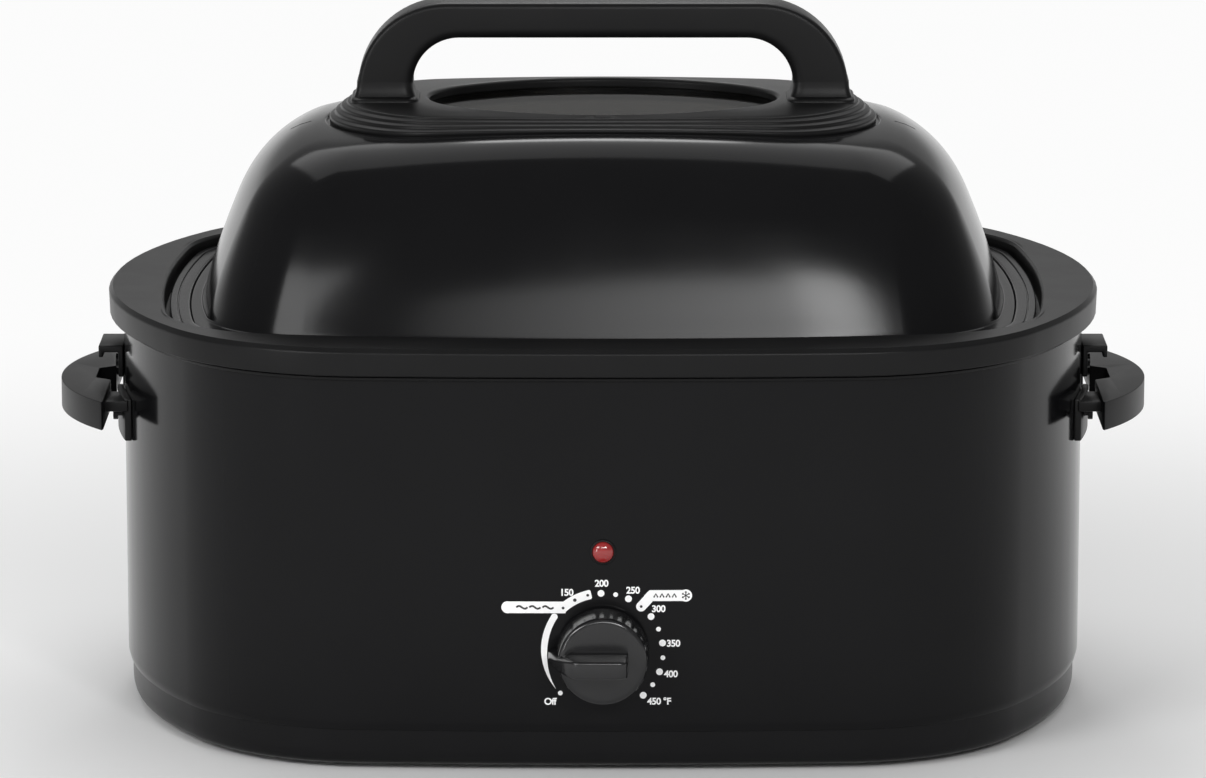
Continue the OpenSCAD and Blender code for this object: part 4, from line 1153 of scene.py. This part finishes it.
class ROASTER_OT_grips(PieceOperator, bpy.types.Operator):
    """Side handles and the lid rests over them"""

    bl_idname = "roaster.grips"
    bl_label = "Side handles and lid rests"

    def make(self, sizes):
        for name, mirrored in (("left", True), ("right", False)):
            self.grip(name, mirrored)
            self.rest(name, mirrored)

    def grip(self, name, mirrored):
        """A bowed slab with a notch for the fingers, hollow below, on two plates and two arms."""
        high = node_box("side_handle_right")[1]
        reach, top = high[0], high[2]
        inner, half = WALL[0] + 7, 84.0
        radius = ((reach - inner) ** 2 + half ** 2) / (2 * (reach - inner))
        sweep = acos((radius - (reach - inner)) / radius) * 0.985

        def bow(r, most, steps):
            angles = [-most + 2 * most * i / steps for i in range(steps + 1)]
            return [(reach - radius + r * cos(a), r * sin(a)) for a in angles]

        notch = [(inner, 20.5), (inner, 20, 1.2), (inner + 9, 13.5, 2), (inner + 9, -13.5, 2), (inner, -20, 1.2)]
        outline = bow(radius, sweep, 60) + [(inner, half - 3)] + notch + [(inner, -half + 3)]
        slab = eased(prism(outline, top - 16, top), 2.0, 4)
        hollow = [(max(x, inner + 3), y) for x, y in bow(radius - 8, sweep * 0.86, 40)]
        hollow += [(inner + 3, 62), (inner + 3, 26), (inner + 14, 20), (inner + 14, -20), (inner + 3, -26),
                   (inner + 3, -62)]
        slab = cut_away(slab, prism(hollow, top - 20, top - 4))
        arms = []
        for side in (-1, 1):
            ys = [side * y for y in (19, 25, 32, 40, 48, 56, 64)]
            plate = [(end_face(y) + 0.1, y) for y in ys] + [(end_face(y) + 4, y) for y in reversed(ys)]
            arms.append(prism(plate, top - 26, top - 2.5))
            y = side * 52
            arms.append(prism([(end_face(y) - 0.5, y - 14), (inner + 3, y - 14), (inner + 3, y + 14),
                               (end_face(y + side * 14) + 0.5, y + 14)], top - 9, top - 3))
        grip = moved(joined(slab, eased(joined(*arms), 0.7, 2)), mirrored=mirrored)
        piece("side_grip_" + name, grip, satin_moulding, 36, "housing", "handle_plastic", "side_handle_" + name)

    def rest(self, name, mirrored):
        """An upright tab with a hooked lip at its top."""
        high = node_box("lid_rest_right")[1]
        reach, top, wall = high[0], high[2], end_face(0)
        profile = [(wall + 0.1, top - 18), (wall + 3, top - 18), (wall + 3, top - 4), (reach - 2.6, top - 4),
                   (reach - 2.6, top - 6.8), (reach, top - 6.8), (reach, top), (wall + 0.1, top)]
        tab = moved(eased(prism(profile, -18, 18, False), 0.8, 3), mirrored=mirrored)
        piece("lid_rest_tab_" + name, tab, satin_moulding, 36, "housing", "handle_plastic", "lid_rest_" + name)


class ROASTER_OT_fittings(PieceOperator, bpy.types.Operator):
    """Finishes of the solids that stay as they are"""

    bl_idname = "roaster.fittings"
    bl_label = "Fittings"

    def make(self, sizes):
        for recipe, names in FITTINGS.items():
            for name in names:
                for slot in NODES[name].material_slots:
                    slot.material = finish_of(recipe)
        for obj in NODES.values():
            if not obj.hide_render:
                smooth_by_angle(obj.data, SMOOTH)


class ROASTER_OT_studio(PieceOperator, bpy.types.Operator):
    """Pale floor, soft lamps and the camera"""

    bl_idname = "roaster.studio"
    bl_label = "Studio"

    def make(self, sizes):
        self.camera()
        self.floor()
        self.world()
        for name, size, power, place, aim in LAMPS + self.right_strips():
            light = bpy.data.lights.new(name, "AREA")
            light.shape = "RECTANGLE"
            light.size, light.size_y = size
            light.energy = power
            obj = add_object(name, light)
            obj.location = place
            obj.rotation_euler = (Vector(aim) - Vector(place)).to_track_quat("-Z", "Y").to_euler()
            obj.visible_camera = False

    def right_strips(self):
        """The right-hand softbox: a row of strips, higher and brighter outward, and most in the last two."""
        count, bright, radius, size, aim = 14, 2, 2.54, (0.119, 0.46), (0, 0, 0.22)
        strips = []
        for i in range(count):
            angle = radians(-13.8 + 2.65 * i)
            last = 1 if i >= count - bright else 0
            power = 0.36 + 0.18 * i + 2.4 * last
            place = (radius * sin(angle), -radius * cos(angle), 1.1 + 0.013 * i + 0.05 * last)
            strips.append(("right_strip", size, power, place, aim))
        return strips

    def camera(self):
        data = bpy.data.cameras.new("camera")
        data.lens = CAMERA_LENS
        data.sensor_width = 36
        data.clip_end = 100
        obj = add_object("camera", data)
        obj.location = (0, BODY_Y * MM - CAMERA_DISTANCE, CAMERA_HEIGHT)
        obj.rotation_euler = (radians(CAMERA_TILT), 0, 0)
        bpy.context.scene.camera = obj

    def floor(self):
        mesh = bpy.data.meshes.new("floor")
        h = FLOOR_HALF
        mesh.from_pydata([(-h, -h, 0), (h, -h, 0), (h, h, 0), (-h, h, 0)], [], [(0, 1, 2, 3)])
        made = bpy.data.materials.new("studio_floor")
        made.use_nodes = True
        self.floor_finish(Tree(made.node_tree), bpy.context.scene.roaster_finishes.floor)
        mesh.materials.append(made)
        obj = add_object("floor", mesh)

    def floor_finish(self, tree, colour):
        """Pale and matt round the object, where it keeps the shadow, and white further out."""
        away = tree.node("ShaderNodeVectorMath", {"operation": "LENGTH"}, {0: tree.place()}, output=1)
        far = tree.band(away, SHADOW_EDGE, WHITE_EDGE)
        matt = tree.node("ShaderNodeBsdfDiffuse", {}, {"Color": opaque(colour)})
        white = tree.node("ShaderNodeEmission", {}, {"Color": opaque(grey(1)), "Strength": 0.97})
        camera, glossy, through = (tree.node("ShaderNodeLightPath", output=ray) for ray in RAYS_SEEN)
        seen = tree.node("ShaderNodeMath", {"operation": "MINIMUM"}, {0: camera + glossy + through, 1: 1.0})
        mixed = tree.node("ShaderNodeMixShader", {}, {0: far * seen, 1: matt, 2: white})
        tree.node("ShaderNodeOutputMaterial", {}, {"Surface": mixed})

    def world(self):
        world = bpy.data.worlds.new("studio")
        bpy.context.scene.world = world
        world.use_nodes = True
        tree = Tree(world.node_tree)
        direction = tree.node("ShaderNodeTexCoord", output="Generated")
        height = tree.node("ShaderNodeSeparateXYZ", {}, {0: direction}, output="Z")
        background = tree.node("ShaderNodeBackground", {}, {"Color": tree.ramp(height, SKY)})
        tree.node("ShaderNodeOutputWorld", {}, {"Surface": background})


class ROASTER_PT_panel(bpy.types.Panel):
    """Lists the pieces of the roaster oven in the sidebar."""

    bl_label = "Roaster Oven"
    bl_idname = "ROASTER_PT_panel"
    bl_space_type = "VIEW_3D"
    bl_region_type = "UI"
    bl_category = "Roaster"

    def draw(self, context):
        column = self.layout.column()
        for operator in OPERATORS:
            column.operator(operator.bl_idname)
        for group in (context.scene.roaster_sizes, context.scene.roaster_finishes):
            for name in group.bl_rna.properties.keys():
                if name not in ("name", "rna_type"):
                    column.prop(group, name)


OPERATORS = [
    ROASTER_OT_studio, ROASTER_OT_shell, ROASTER_OT_collar, ROASTER_OT_base, ROASTER_OT_well, ROASTER_OT_pan,
    ROASTER_OT_rack, ROASTER_OT_lid, ROASTER_OT_surround, ROASTER_OT_window, ROASTER_OT_knob, ROASTER_OT_dial,
    ROASTER_OT_lamp, ROASTER_OT_grips, ROASTER_OT_fittings,
]
CLASSES = [RoasterSizes, RoasterFinishes] + OPERATORS + [ROASTER_PT_panel]


def register():
    for cls in CLASSES:
        bpy.utils.register_class(cls)
    bpy.types.Scene.roaster_sizes = bpy.props.PointerProperty(type=RoasterSizes)
    bpy.types.Scene.roaster_finishes = bpy.props.PointerProperty(type=RoasterFinishes)


def unregister():
    del bpy.types.Scene.roaster_finishes
    del bpy.types.Scene.roaster_sizes
    for cls in reversed(CLASSES):
        bpy.utils.unregister_class(cls)


def main():
    register()
    bpy.context.scene.view_settings.view_transform = "Standard"
    bpy.ops.roaster.studio()
    bpy.ops.roaster.shell()
    bpy.ops.roaster.collar()
    bpy.ops.roaster.base()
    bpy.ops.roaster.well()
    bpy.ops.roaster.pan()
    bpy.ops.roaster.rack()
    bpy.ops.roaster.lid()
    bpy.ops.roaster.surround()
    bpy.ops.roaster.window()
    bpy.ops.roaster.knob()
    bpy.ops.roaster.dial()
    bpy.ops.roaster.lamp()
    bpy.ops.roaster.grips()
    bpy.ops.roaster.fittings()


if __name__ == "__main__":
    main()
